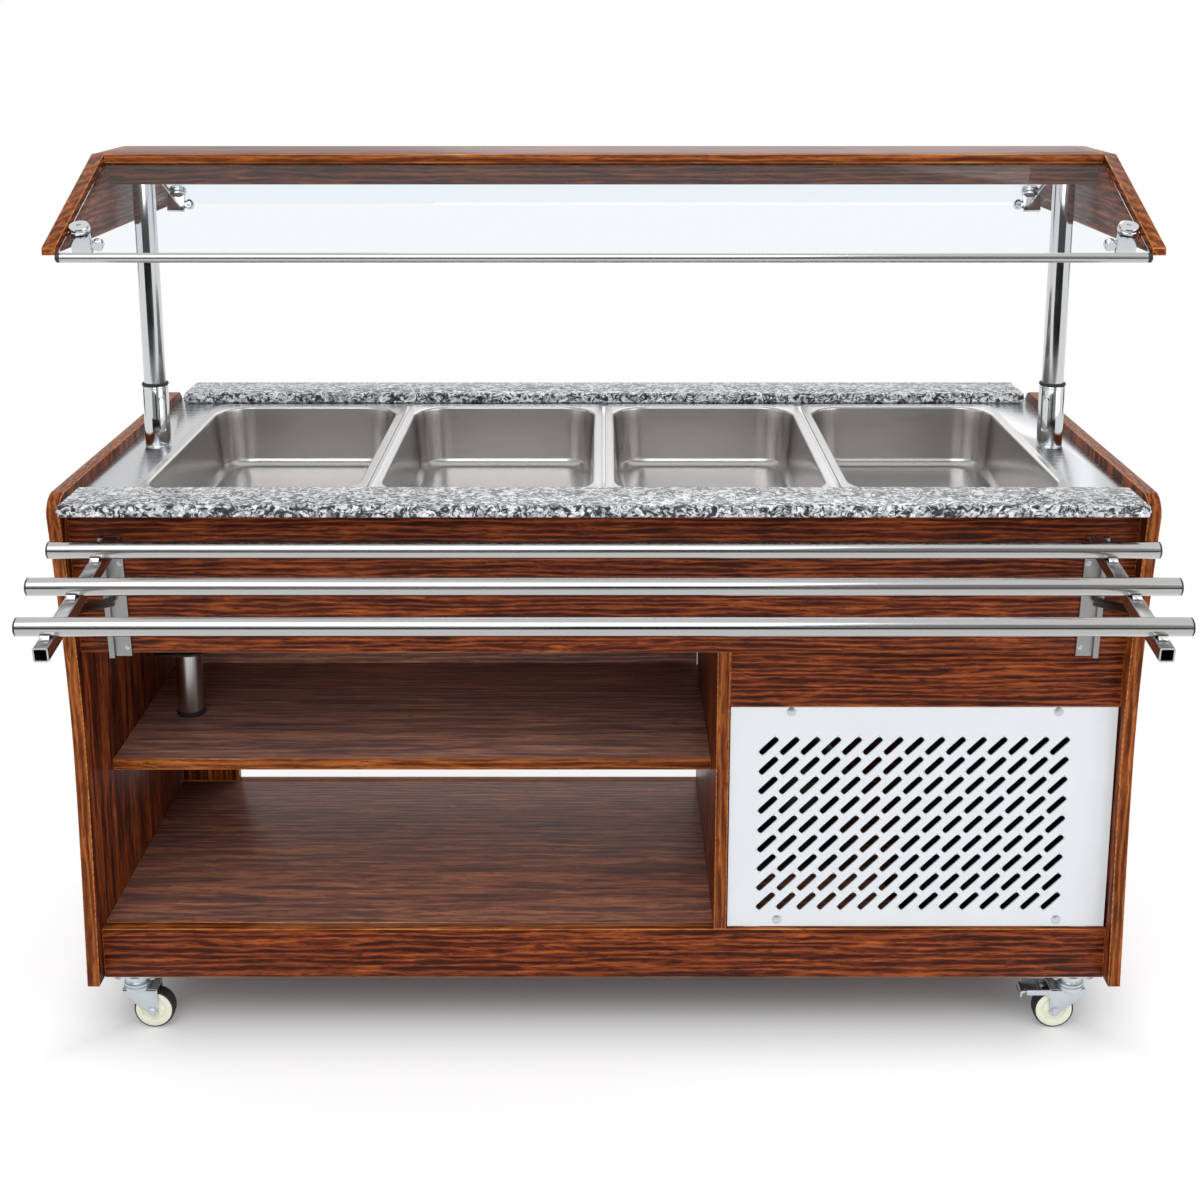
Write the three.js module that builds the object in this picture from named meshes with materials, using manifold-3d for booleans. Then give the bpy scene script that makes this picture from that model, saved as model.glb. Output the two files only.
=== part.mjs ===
// Mobile salad bar: a wooden cabinet on swivel casters, with a cold well of lift-out pans, stone ledges,
// a glazed canopy that lowers on telescopic posts, and a folding tray slide along the front.
// Millimetres, +Z up, the front faces -Y and +X is to the right. The floor is at z = 0, and the group is
// moved along Y so that its origin lies under the middle of its outline.

import * as THREE from 'three';
import { mergeVertices } from 'three/addons/utils/BufferGeometryUtils.js';
import Module from 'manifold-3d';

const wasm = await Module();
wasm.setup();

// ---------------------------------------------------------------------------------------------------------
// Driving dimensions
// ---------------------------------------------------------------------------------------------------------

const seatGap = 0.3; // between two pieces that rest on or against each other
const runGap = 0.4; // radial, between a pin and its hole
const slideGap = 0.3; // radial, between a sliding tube and its sleeve
const boardThickness = 18;

// Cabinet
const panelTop = 848;
const panelBottom = 100;
const panelTopInset = 46; // from a ledge's outer edge in to the side panel's
const panelWaistProud = 7; // of its waist, outside the apron's foot
const panelFootProud = 19; // of its foot, outside the apron's
const panelWaistHeight = 455;
const panelUpperPull = 590; // the height to which the upper curve is drawn in
const panelLowerPull = 330; // the height to which the lower curve is drawn in
const panelCornerRadius = 28;
const baseSetback = 5; // of the front base board's face, inside the apron's foot
const rearFace = 212; // from the posts to the face of the rear boards
const deckTop = 178;
const shelfTop = 397;
const shelfFront = 174; // from the posts to the shelf's front edge
const dividerLeft = 160; // from the middle of the row
const apronFootInset = 60; // from the worktop's edge in to the apron's foot
const apronFlare = 0.104; // how far the apron's face moves out for each unit of height
const apronThickness = 18;
const apronBottom = 608;
const cornerStileWidth = 97;
const bearerWidth = 71;
const bearerPad = 60;

// Worktop, ledges, well and pans
const worktopTop = 833;
const worktopSheet = 3;
const worktopSide = 75; // from a pan's end to the worktop's edge
const ledgeLap = 58; // of a ledge over the worktop
const ledgeWidth = 91;
const ledgeThickness = 16.7;
const ledgeEndGap = 13;
const panCount = 4;
const panPitch = 330;
const panWidth = 325;
const panLength = 530;
const panDepth = 100;
const panRim = 12.5;
const panRimThickness = 2;
const panWall = 1.5;
const panCornerRadius = 60;
const panRimRadius = 22;
const panDraft = 6;
const panFloorRadius = 12;
const panSeat = 2.5; // between a pan's body and its opening
const worktopEnd = 74.5; // from the last pan's rim to the side panel
const wellBottom = 700;
const wellWall = 2;
const wellMargin = 6; // between the openings and the well's inside
const drainRadius = 12;

// Posts
const postFromPan = 28; // from the last pan's rim to the post's axis
const postRadius = 16.4;
const postWall = 2;
const postBottom = 822;
const sleeveWall = 2.5;
const sleeveBottom = 504.3;
const sleeveTop = 933.7;
const collarHeight = 5;
const collarProud = 0.8;
const legInset = 30; // from the post's axis inward to the leg's
const legY = -9;
const legRadius = 20.8;
const legFootRadius = 22.6;
const legFootHeight = 7.7;
const flangeThickness = 4;
const flangeMargin = 4; // of the leg's top plate round the sleeve and the leg

// Canopy
const canopyInset = 14; // from the cabinet's end in to the canopy's end panel
const canopyTop = 1286;
const canopyBoard = 13;
const canopyBoardHalf = 79;
const canopyEnd = 18;
const canopyEndHalf = 311.6;
const canopyDrop = 113.5; // from the canopy's top to the foot of its ends
const canopyTip = 10;
const housingHalf = 60;
const housingHeight = 33.7;
const housingWall = 2;
const diffuserEnd = 29; // from a post's axis inward to the diffuser
const diffuserThickness = 3;
const diffuserRecess = 1;
const railRadius = 6.5;
const railHalf = 313;
const railDrop = 2.7; // of the rail's middle below the canopy's ends
const glassThickness = 5;
const glassSlope = THREE.MathUtils.degToRad(24);
const glassReach = 246; // from the rail's middle to the top edge
const glassEndGap = 0.6;

// Tray slide
const trayReach = 599; // from the posts to the tips of the arms
const trayArmInset = 79; // from the cabinet's end in to the arm's middle
const trayPivotDrop = 57.5; // of the arm's pivot below the worktop
const trayPivotStandOff = 14.5; // from the apron's face to the arm's pivot
const traySlope = THREE.MathUtils.degToRad(8.4);
const trayArmSize = 19;
const trayArmWall = 2;
const trayArmHeel = 6; // the arm's length behind its pivot
const trayTubeRadius = 11.5;
const trayTubeWall = 1.5;
const trayTubes = [['rear', 14], ['middle', 20], ['front', 40]]; // names, and insets from the cabinet's end
const trayTubeFirst = 55.9; // along the arm from its pivot
const trayTubePitch = 101.2;
const plateWidth = 29;
const plateOffset = 3; // of the wall plate, outboard of the arm
const plateThickness = 2.5;
const plateFoot = 4; // of the wall plate below the apron
const plateHead = 9.5; // of the wall plate above the arm's pivot
const plateRibWidth = 7.5;
const plateRibDepth = 8.5;
const earThickness = 2.5;
const earGap = 0.5;
const earHalfHeight = 8;
const earNose = 5; // of an ear past its pin
const pivotPinRadius = 3;
const strutPivotDrop = 85.5; // from the arm's pivot down to the strut's pivot
const strutStandOff = 10.5; // from the apron's face to the strut's pivot
const strutReach = 150; // along the arm to the strut's far end
const strutWidth = 12;
const strutThickness = 3;
const strutInset = 3; // from the arm's outer side to the strut
const strutPinRadius = 2.5;

// Grille and compartment
const grilleSheet = 2;
const grilleGapLeft = 2;
const grilleGapRight = 3;
const grilleGapBottom = 2;
const grilleTop = 522;
const grilleSetback = 5; // behind the base board's face
const grilleFlange = 12;
const grilleFoot = 24;
const railSetback = 3; // of the rail above the grille, behind the base board's face
const railGap = 1; // between the grille and the rail above it
const slotColumns = 15;
const slotRows = 9;
const slotPitch = 29.6; // along a row
const slotRowPitch = 30.3;
const slotLength = 35;
const slotWidth = 9.6;
const slotAngle = Math.PI / 4;
const slotShift = -12.3; // the slots' middle to the right of the grille's middle
const slotDrop = 9.5; // the slots' middle below the grille's middle
const rearSlotRows = 8;
const rearSlotPitch = 28;
const rearSlotLength = 360;
const rearSlotWidth = 8;
const glandInset = 92; // from the side panel in to the gland
const glandHeight = 240;
const glandRadius = 11;
const glandFlangeRadius = 16;
const glandFlange = 4;
const glandNose = 12;
const glandBore = 5;

// Cooling unit
const compressorInset = 122; // from the divider to the compressor's middle
const compressorY = -30;
const compressorRadius = 80;
const compressorHeight = 190;
const compressorPlate = 180;
const compressorPlateThickness = 5;
const condenserInset = 32; // from the side panel in to the condenser
const condenserWidth = 270;
const condenserFront = -244;
const condenserDepth = 44;
const condenserHeight = 290;
const condenserTray = 4;
const finCount = 12;
const finSlot = 8;
const finDepth = 12;
const fanGap = 12; // between the condenser and the fan
const fanRadius = 115;
const fanHubRadius = 27;
const fanHubLength = 24;
const fanBlades = 5;
const fanBladeThickness = 3;
const fanBladePitch = THREE.MathUtils.degToRad(28);
const fanRunGap = 2; // between the fan and its motor
const shaftRadius = 4;
const motorRadius = 32;
const motorLength = 40;
const motorStand = 24;

// Casters
const casterInset = 38; // from the side panel in to the swivel axis
const casterFront = -239;
const casterRear = 170;
const casterTop = 88;
const casterTrail = 23;
const raceRadius = 21;
const raceNeckRadius = 17;
const raceRim = 9;
const crownBottom = 63;
const crownThickness = 4;
const wheelRadius = 30;
const wheelWidth = 20;
const wheelHubWidth = 24;
const wheelHubRadius = 9;
const wheelSides = 24;
const axleRadius = 4;
const forkEye = 8;
const cheekThickness = 2.5;
const cheekGap = 0.6; // between the hub and a cheek
const brakeX = 44; // from the swivel axis to the pedal's pin
const brakeHeight = 61;
const brakeReach = 31; // from the pin to the pedal's tip
const brakePlate = 3;
const brakePinRadius = 3;
const brakeArmEnd = 66;
const brakeArmHeight = 9;

const roundSides = 24;

// ---------------------------------------------------------------------------------------------------------
// Finishes
// ---------------------------------------------------------------------------------------------------------

const finish = {
  wood: { color: 0x7d3f22, roughness: 0.45, metalness: 0 },
  stone: { color: 0xd4d6d8, roughness: 0.3, metalness: 0 },
  steel: { color: 0xc4c7ca, roughness: 0.28, metalness: 1 },
  chrome: { color: 0xd8dadc, roughness: 0.12, metalness: 1 },
  zinc: { color: 0xaeb3b8, roughness: 0.4, metalness: 1 },
  darkSteel: { color: 0x4a4440, roughness: 0.5, metalness: 0.8 },
  paint: { color: 0xe6e8ea, roughness: 0.5, metalness: 0 },
  blackPaint: { color: 0x1a1b1c, roughness: 0.45, metalness: 0.2 },
  plastic: { color: 0x18191a, roughness: 0.5, metalness: 0 },
  rubber: { color: 0x1c1c1c, roughness: 0.8, metalness: 0 },
  lamp: { color: 0xece7dc, roughness: 0.5, metalness: 0 },
  glass: { color: 0xdfeae6, roughness: 0.05, metalness: 0, transparent: true, opacity: 0.35 },
};

const saladBar = new THREE.Group();

function addMesh(name, geometry, look) {
  const mesh = new THREE.Mesh(geometry, new THREE.MeshStandardMaterial(look));
  mesh.name = name;
  saladBar.add(mesh);
  return mesh;
}

// ---------------------------------------------------------------------------------------------------------
// Solids
// ---------------------------------------------------------------------------------------------------------

function toSolid(geometry) {
  const bare = geometry.clone();
  bare.deleteAttribute('normal');
  bare.deleteAttribute('uv');
  const merged = mergeVertices(bare, 1e-4);
  const vertProperties = new Float32Array(merged.attributes.position.array);
  const triVerts = new Uint32Array(merged.index.array);
  return new wasm.Manifold(new wasm.Mesh({ numProp: 3, vertProperties, triVerts }));
}

function fromSolid(solid) {
  const mesh = solid.getMesh();
  const geometry = new THREE.BufferGeometry();
  geometry.setAttribute('position', new THREE.BufferAttribute(new Float32Array(mesh.vertProperties), 3));
  geometry.setIndex(new THREE.BufferAttribute(new Uint32Array(mesh.triVerts), 1));
  return geometry;
}

function join(...geometries) {
  return fromSolid(geometries.map(toSolid).reduce((whole, next) => whole.add(next)));
}

function cut(geometry, ...tools) {
  return fromSolid(tools.map(toSolid).reduce((whole, tool) => whole.subtract(tool), toSolid(geometry)));
}

function common(geometry, other) {
  return fromSolid(toSolid(geometry).intersect(toSolid(other)));
}

function block(x0, x1, y0, y1, z0, z1) {
  const geometry = new THREE.BoxGeometry(x1 - x0, y1 - y0, z1 - z0);
  return geometry.translate((x0 + x1) / 2, (y0 + y1) / 2, (z0 + z1) / 2);
}

// Turns a geometry so that its x, y and z run along the row's Y, Z and X.
function alongX(geometry) {
  return geometry.applyMatrix4(new THREE.Matrix4().set(0, 0, 1, 0, 1, 0, 0, 0, 0, 1, 0, 0, 0, 0, 0, 1));
}

// Turns a geometry so that its x, y and z run along the row's X, Z and -Y.
function alongY(geometry) {
  return geometry.rotateX(Math.PI / 2);
}

function extrude(shape, depth, curveSegments = 8) {
  return new THREE.ExtrudeGeometry(shape, { depth, bevelEnabled: false, curveSegments });
}

// A board with its outline in the Y-Z plane, from x0 to x1.
function profileBoard(shape, x0, x1, curveSegments) {
  return alongX(extrude(shape, x1 - x0, curveSegments)).translate(x0, 0, 0);
}

// A board with its outline in the X-Z plane, from y0 to y1.
function facingBoard(shape, y0, y1, curveSegments) {
  return alongY(extrude(shape, y1 - y0, curveSegments)).translate(0, y1, 0);
}

function polygon(points) {
  return new THREE.Shape(points.map(([x, y]) => new THREE.Vector2(x, y)));
}

function circlePath(x, y, radius) {
  const path = new THREE.Path();
  path.absarc(x, y, radius, 0, Math.PI * 2, true);
  return path;
}

function rectanglePoints(x0, x1, y0, y1) {
  return [[x0, y0], [x1, y0], [x1, y1], [x0, y1]];
}

function holePath(points) {
  return new THREE.Path(points.map(([x, y]) => new THREE.Vector2(x, y)).reverse());
}

// A round bar along X, Y or Z between two stations on its axis.
function barX(radius, x0, x1, y, z, sides = roundSides) {
  const geometry = new THREE.CylinderGeometry(radius, radius, x1 - x0, sides);
  return geometry.rotateZ(-Math.PI / 2).translate((x0 + x1) / 2, y, z);
}

function barY(radius, y0, y1, x, z, sides = roundSides) {
  const geometry = new THREE.CylinderGeometry(radius, radius, y1 - y0, sides);
  return geometry.translate(x, (y0 + y1) / 2, z);
}

function barZ(radius, z0, z1, x, y, sides = roundSides) {
  const geometry = new THREE.CylinderGeometry(radius, radius, z1 - z0, sides);
  return geometry.rotateX(Math.PI / 2).translate(x, y, (z0 + z1) / 2);
}

// A turned piece: profile points are [radius, height], listed up the outside and down the bore or axis.
function turned(profile, sides = roundSides) {
  const points = profile.map(([radius, height]) => new THREE.Vector2(radius, height));
  return new THREE.LatheGeometry(points, sides).rotateX(Math.PI / 2);
}

// A round tube standing on its lower end.
function tube(outer, inner, z0, z1) {
  return turned([[inner, z0], [outer, z0], [outer, z1], [inner, z1], [inner, z0]]);
}

// ---------------------------------------------------------------------------------------------------------
// Shared places
// ---------------------------------------------------------------------------------------------------------

const worktopHalf = panLength / 2 + worktopSide;
const ledgeInner = worktopHalf - ledgeLap;
const ledgeOuter = ledgeInner + ledgeWidth;
const apronFootHalf = worktopHalf - apronFootInset;
const frontFace = apronFootHalf - baseSetback; // from the posts to the front base board's face
const panelTopHalf = ledgeOuter - panelTopInset;
const panelWaistHalf = apronFootHalf + panelWaistProud;
const panelFootHalf = apronFootHalf + panelFootProud;
const canopyEndBottom = canopyTop - canopyDrop;
const railHeight = canopyEndBottom - railDrop;
const trayPivotHeight = worktopTop - trayPivotDrop;
const panRow = (panCount - 1) / 2;
const panEnd = panRow * panPitch + panWidth / 2;
const panelInner = panEnd + worktopEnd;
const panelOuter = panelInner + boardThickness;
const insideHalf = panelInner - seatGap; // half the length of a board that fits between the side panels
const worktopBottom = worktopTop - worktopSheet;
const underWorktop = worktopBottom - seatGap;
const ledgeBottom = worktopTop + seatGap;
const onDeck = deckTop + seatGap;
const underDeck = deckTop - boardThickness;
const underWell = wellBottom - seatGap;
const frontBoardBack = frontFace - boardThickness;
const rearBoardBack = rearFace - boardThickness;
const deckRear = rearBoardBack - seatGap;
const dividerRight = dividerLeft + boardThickness;
const bayRight = dividerLeft - seatGap;
const bayLeft = dividerRight + seatGap;
const panBodyHalfX = panWidth / 2 - panRim;
const panBodyHalfY = panLength / 2 - panRim;
const wellHalfX = panRow * panPitch + panBodyHalfX + panSeat + wellMargin;
const wellHalfY = panBodyHalfY + panSeat + wellMargin;
const sleeveBore = postRadius + slideGap;
const sleeveRadius = sleeveBore + sleeveWall;
const postX = panEnd + postFromPan;
const legX = postX - legInset;
const canopyHalf = panelOuter - canopyInset; // to the outer face of an end panel
const canopyInner = canopyHalf - canopyEnd;
const canopySpan = canopyInner - seatGap;
const housingTop = canopyTop - canopyBoard - seatGap;
const housingBottom = housingTop - housingHeight;
const diffuserHalf = postX - diffuserEnd;
const trayArmX = panelOuter - trayArmInset;
const trayPivotHalf = apronHalfAt(trayPivotHeight) + trayPivotStandOff;
const trayArmHalf = trayArmSize / 2;
const trayArmLength = (trayReach - trayPivotHalf - trayArmHalf * Math.sin(traySlope)) / Math.cos(traySlope);
const plateBottom = apronBottom - plateFoot;
const plateTop = trayPivotHeight + plateHead;
const glandX = panelInner - glandInset;
const compressorX = dividerRight + compressorInset;
const condenserRight = panelInner - condenserInset;
const condenserLeft = condenserRight - condenserWidth;
const casterX = panelInner - casterInset;
const sides = [['left', -1], ['right', 1]];

// The distance from the posts to the apron's face at a height.
function apronHalfAt(height) {
  return apronFootHalf + (height - apronBottom) * apronFlare;
}

// ---------------------------------------------------------------------------------------------------------
// Cabinet
// ---------------------------------------------------------------------------------------------------------

// The side panel's outline: a straight top with round corners, and edges that curve in to a waist.
function sidePanelShape() {
  const shoulder = panelTop - panelCornerRadius;
  const corner = panelTopHalf - panelCornerRadius;
  const shape = new THREE.Shape();
  shape.moveTo(-panelFootHalf, panelBottom);
  shape.lineTo(panelFootHalf, panelBottom);
  shape.quadraticCurveTo(panelWaistHalf, panelLowerPull, panelWaistHalf, panelWaistHeight);
  shape.quadraticCurveTo(panelWaistHalf, panelUpperPull, panelTopHalf, shoulder);
  shape.absarc(corner, shoulder, panelCornerRadius, 0, Math.PI / 2, false);
  shape.lineTo(-corner, panelTop);
  shape.absarc(-corner, shoulder, panelCornerRadius, Math.PI / 2, Math.PI, false);
  shape.quadraticCurveTo(-panelWaistHalf, panelUpperPull, -panelWaistHalf, panelWaistHeight);
  shape.quadraticCurveTo(-panelWaistHalf, panelLowerPull, -panelFootHalf, panelBottom);
  return shape;
}

function buildSidePanels() {
  for (const [side, sign] of sides) {
    const x0 = sign > 0 ? panelInner : -panelOuter;
    addMesh(`side_panel_${side}`, profileBoard(sidePanelShape(), x0, x0 + boardThickness, 9), finish.wood);
  }
}

// The deck carries a bearer along each side panel, with a pad under it for each caster.
function buildBase() {
  const deckFront = -frontBoardBack + seatGap;
  const deck = block(-insideHalf, insideHalf, deckFront, deckRear, underDeck, deckTop);
  const bearers = sides.flatMap(([, sign]) => {
    const x0 = sign > 0 ? insideHalf - bearerWidth : -insideHalf;
    const bearer = block(x0, x0 + bearerWidth, deckFront, deckRear, panelBottom, underDeck);
    const pads = [casterFront, casterRear].map((y) => {
      const half = bearerPad / 2;
      const x = sign * casterX;
      const front = Math.max(y - half, deckFront);
      return block(x - half, x + half, front, y + half, casterTop, panelBottom);
    });
    return [bearer, ...pads];
  });
  addMesh('base_deck', join(deck, ...bearers), finish.wood);
  const front = block(-insideHalf, insideHalf, -frontFace, -frontBoardBack, panelBottom, deckTop);
  addMesh('front_base_board', front, finish.wood);
  const rear = block(-insideHalf, insideHalf, rearBoardBack, rearFace, panelBottom, deckTop);
  addMesh('rear_base_board', rear, finish.wood);
}

// The divider stands behind the apron above the apron's foot, and comes forward to the base board below it.
function buildInnerBoards() {
  const behindApron = apronFootHalf - apronThickness - seatGap;
  const underApron = apronBottom - seatGap;
  const divider = polygon([
    [-frontFace, onDeck],
    [deckRear, onDeck],
    [deckRear, underWell],
    [-behindApron, underWell],
    [-behindApron, underApron],
    [-frontFace, underApron],
  ]);
  addMesh('divider_panel', profileBoard(divider, dividerLeft, dividerRight), finish.wood);
  const underShelf = shelfTop - boardThickness;
  const shelf = block(-insideHalf, bayRight, -shelfFront, deckRear, underShelf, shelfTop);
  addMesh('mid_shelf', shelf, finish.wood);
  const back = block(-insideHalf, bayRight, rearBoardBack, rearFace, underShelf, underWell);
  addMesh('upper_back_panel', back, finish.wood);
  const stileRight = cornerStileWidth - insideHalf;
  const stile = block(-insideHalf, stileRight, rearBoardBack, rearFace, onDeck, underShelf - seatGap);
  addMesh('rear_corner_stile', stile, finish.wood);
}

function buildAprons() {
  const top = apronHalfAt(underWorktop);
  for (const [name, sign] of [['front_apron', -1], ['rear_apron', 1]]) {
    const outline = [
      [sign * apronFootHalf, apronBottom],
      [sign * top, underWorktop],
      [sign * (top - apronThickness), underWorktop],
      [sign * (apronFootHalf - apronThickness), apronBottom],
    ];
    if (sign < 0) outline.reverse();
    addMesh(name, profileBoard(polygon(outline), -insideHalf, insideHalf), finish.wood);
  }
}

// ---------------------------------------------------------------------------------------------------------
// Grille, rear panel and cooling unit
// ---------------------------------------------------------------------------------------------------------

// A slanted slot's four corners about its middle.
function slotPath(x, z) {
  const along = new THREE.Vector2(Math.cos(slotAngle), Math.sin(slotAngle)).multiplyScalar(slotLength / 2);
  const across = new THREE.Vector2(-Math.sin(slotAngle), Math.cos(slotAngle)).multiplyScalar(slotWidth / 2);
  const corners = [[-1, -1], [1, -1], [1, 1], [-1, 1]];
  return holePath(corners.map(([a, b]) => [x + a * along.x + b * across.x, z + a * along.y + b * across.y]));
}

// A pressed sheet with slanted slots, turned back round its edge and standing on two feet.
function buildGrille() {
  const left = dividerRight + grilleGapLeft;
  const right = panelInner - grilleGapRight;
  const bottom = deckTop + grilleGapBottom;
  const front = -frontFace + grilleSetback;
  const back = front + grilleSheet;
  const middleX = (left + right) / 2 + slotShift;
  const middleZ = (bottom + grilleTop) / 2 - slotDrop;
  const face = polygon(rectanglePoints(left, right, bottom, grilleTop));
  for (let column = 0; column < slotColumns; column += 1) {
    for (let row = 0; row < slotRows; row += 1) {
      const x = middleX + (column - (slotColumns - 1) / 2) * slotPitch;
      const z = middleZ + (row - (slotRows - 1) / 2) * slotRowPitch;
      face.holes.push(slotPath(x, z));
    }
  }
  const rim = polygon(rectanglePoints(left, right, bottom, grilleTop));
  const wall = grilleSheet;
  rim.holes.push(holePath(rectanglePoints(left + wall, right - wall, bottom + wall, grilleTop - wall)));
  const flange = facingBoard(rim, front + grilleSheet / 2, front + grilleFlange);
  const feet = [left + grilleFoot, right - grilleFoot * 2].map((x) => (
    block(x, x + grilleFoot, back, front + grilleFlange, onDeck, bottom + wall / 2)
  ));
  addMesh('compressor_grille', join(facingBoard(face, front, back), flange, ...feet), finish.paint);
}

function buildGrilleRail() {
  const face = -frontFace + railSetback;
  const bottom = grilleTop + railGap;
  const rail = block(bayLeft, insideHalf, face, face + boardThickness, bottom, apronBottom - seatGap);
  addMesh('grille_rail', rail, finish.wood);
}

function buildRearPanel() {
  const face = polygon(rectanglePoints(bayLeft, insideHalf, onDeck, underWell));
  const middleX = (bayLeft + insideHalf) / 2;
  const middleZ = (onDeck + underWell) / 2;
  const slotLeft = middleX - rearSlotLength / 2;
  const slotRight = middleX + rearSlotLength / 2;
  for (let row = 0; row < rearSlotRows; row += 1) {
    const z = middleZ + (row - (rearSlotRows - 1) / 2) * rearSlotPitch;
    const half = rearSlotWidth / 2;
    face.holes.push(holePath(rectanglePoints(slotLeft, slotRight, z - half, z + half)));
  }
  face.holes.push(circlePath(glandX, glandHeight, glandRadius + seatGap));
  addMesh('rear_vent_panel', facingBoard(face, rearBoardBack, rearFace), finish.wood);
  // The gland's profile is turned about Z and then laid along Y, with its flange against the panel's face.
  const gland = turned([
    [glandBore, -boardThickness],
    [glandRadius, -boardThickness],
    [glandRadius, seatGap],
    [glandFlangeRadius, seatGap],
    [glandFlangeRadius, seatGap + glandFlange],
    [glandRadius, seatGap + glandNose],
    [glandBore, seatGap + glandNose],
    [glandBore, -boardThickness],
  ], 16);
  gland.rotateX(-Math.PI / 2).translate(glandX, rearFace, glandHeight);
  addMesh('cable_gland', gland, finish.plastic);
}

function buildCompressor() {
  const half = compressorPlate / 2;
  const plate = block(-half, half, -half, half, 0, compressorPlateThickness);
  const waist = compressorRadius * 0.92;
  const dome = turned([
    [0, compressorPlateThickness / 2],
    [waist, compressorPlateThickness / 2],
    [compressorRadius, compressorHeight * 0.15],
    [compressorRadius, compressorHeight * 0.78],
    [waist, compressorHeight * 0.9],
    [compressorRadius * 0.6, compressorHeight * 0.98],
    [0, compressorHeight],
  ]);
  addMesh('compressor', join(plate, dome).translate(compressorX, compressorY, onDeck), finish.blackPaint);
}

// The condenser faces the grille; its fan turns behind it on a motor that stands on the same tray.
function buildCondenser() {
  const coreBack = condenserFront + condenserDepth;
  const fanFront = coreBack + fanGap;
  const fanBack = fanFront + fanHubLength;
  const motorFront = fanBack + fanRunGap;
  const motorBack = motorFront + motorLength;
  const x = (condenserLeft + condenserRight) / 2;
  const z = onDeck + condenserHeight / 2;
  const coreTop = onDeck + condenserHeight;
  const core = block(condenserLeft, condenserRight, condenserFront, coreBack, onDeck, coreTop);
  const finPitch = condenserHeight / (finCount + 1);
  const grooves = Array.from({ length: finCount }, (_, i) => {
    const middle = onDeck + finPitch * (i + 1);
    return block(condenserLeft + finPitch, condenserRight - finPitch, condenserFront - 1,
      condenserFront + finDepth, middle - finSlot / 2, middle + finSlot / 2);
  });
  const trayTop = onDeck + condenserTray;
  const tray = block(condenserLeft, condenserRight, coreBack - 1, motorBack, onDeck, trayTop);
  const stand = block(x - motorStand / 2, x + motorStand / 2, motorFront, motorBack, onDeck, z);
  const motor = barY(motorRadius, motorFront, motorBack, x, z);
  const shaft = barY(shaftRadius, fanFront - 1, motorFront + 1, x, z, 12);
  addMesh('condenser', join(cut(core, ...grooves), tray, stand, motor, shaft), finish.blackPaint);

  const hub = barY(fanHubRadius, fanFront, fanBack, x, z);
  const span = fanRadius - fanHubRadius / 2;
  const blades = Array.from({ length: fanBlades }, (_, i) => {
    const blade = new THREE.BoxGeometry(fanRadius * 0.55, fanBladeThickness, span);
    blade.rotateZ(fanBladePitch).translate(0, 0, fanHubRadius / 2 + span / 2);
    blade.rotateY((i / fanBlades) * Math.PI * 2);
    return blade.translate(x, (fanFront + fanBack) / 2, z);
  });
  const swept = barY(fanRadius, fanFront, fanBack, x, z, 32);
  const rotor = common(join(hub, ...blades), swept);
  const bore = barY(shaftRadius + runGap, fanFront - 1, fanBack + 1, x, z, 12);
  addMesh('condenser_fan', cut(rotor, bore), finish.plastic);
}

// ---------------------------------------------------------------------------------------------------------
// Worktop, ledges, well and pans
// ---------------------------------------------------------------------------------------------------------

function buildWorktop() {
  const shape = polygon(rectanglePoints(-insideHalf, insideHalf, -worktopHalf, worktopHalf));
  for (let i = 0; i < panCount; i += 1) {
    const middle = (i - panRow) * panPitch;
    const ring = roundedRing(panBodyHalfX + panSeat, panBodyHalfY + panSeat, panCornerRadius, 0);
    shape.holes.push(holePath(ring.map(([x, y]) => [x + middle, y])));
  }
  for (const [, sign] of sides) {
    shape.holes.push(circlePath(sign * postX, 0, sleeveRadius + seatGap));
  }
  const sheet = extrude(shape, worktopSheet, roundSides / 2).translate(0, 0, worktopBottom);
  addMesh('steel_worktop', sheet, finish.steel);
  const end = panelInner - ledgeEndGap;
  const top = ledgeBottom + ledgeThickness;
  const front = block(-end, end, -ledgeOuter, -ledgeInner, ledgeBottom, top);
  addMesh('granite_ledge_front', front, finish.stone);
  addMesh('granite_ledge_rear', block(-end, end, ledgeInner, ledgeOuter, ledgeBottom, top), finish.stone);
}

function buildWell() {
  const outerX = wellHalfX + wellWall;
  const outerY = wellHalfY + wellWall;
  const shell = block(-outerX, outerX, -outerY, outerY, wellBottom, underWorktop);
  const floor = wellBottom + wellWall;
  const hollow = block(-wellHalfX, wellHalfX, -wellHalfY, wellHalfY, floor, worktopTop);
  const drain = barZ(drainRadius, wellBottom - 1, floor + 1, panPitch, 0, 12);
  addMesh('well_tank', cut(shell, hollow, drain), finish.steel);
}

// One ring of points round a rectangle with round corners.
function roundedRing(halfX, halfY, radius, z, cornerSteps = 5) {
  const ring = [];
  const quarters = [[1, 1, 0], [-1, 1, 1], [-1, -1, 2], [1, -1, 3]];
  for (const [sx, sy, quarter] of quarters) {
    for (let step = 0; step <= cornerSteps; step += 1) {
      const angle = (quarter + step / cornerSteps) * Math.PI / 2;
      const x = sx * (halfX - radius) + radius * Math.cos(angle);
      const y = sy * (halfY - radius) + radius * Math.sin(angle);
      ring.push([x, y, z]);
    }
  }
  return ring;
}

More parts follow.
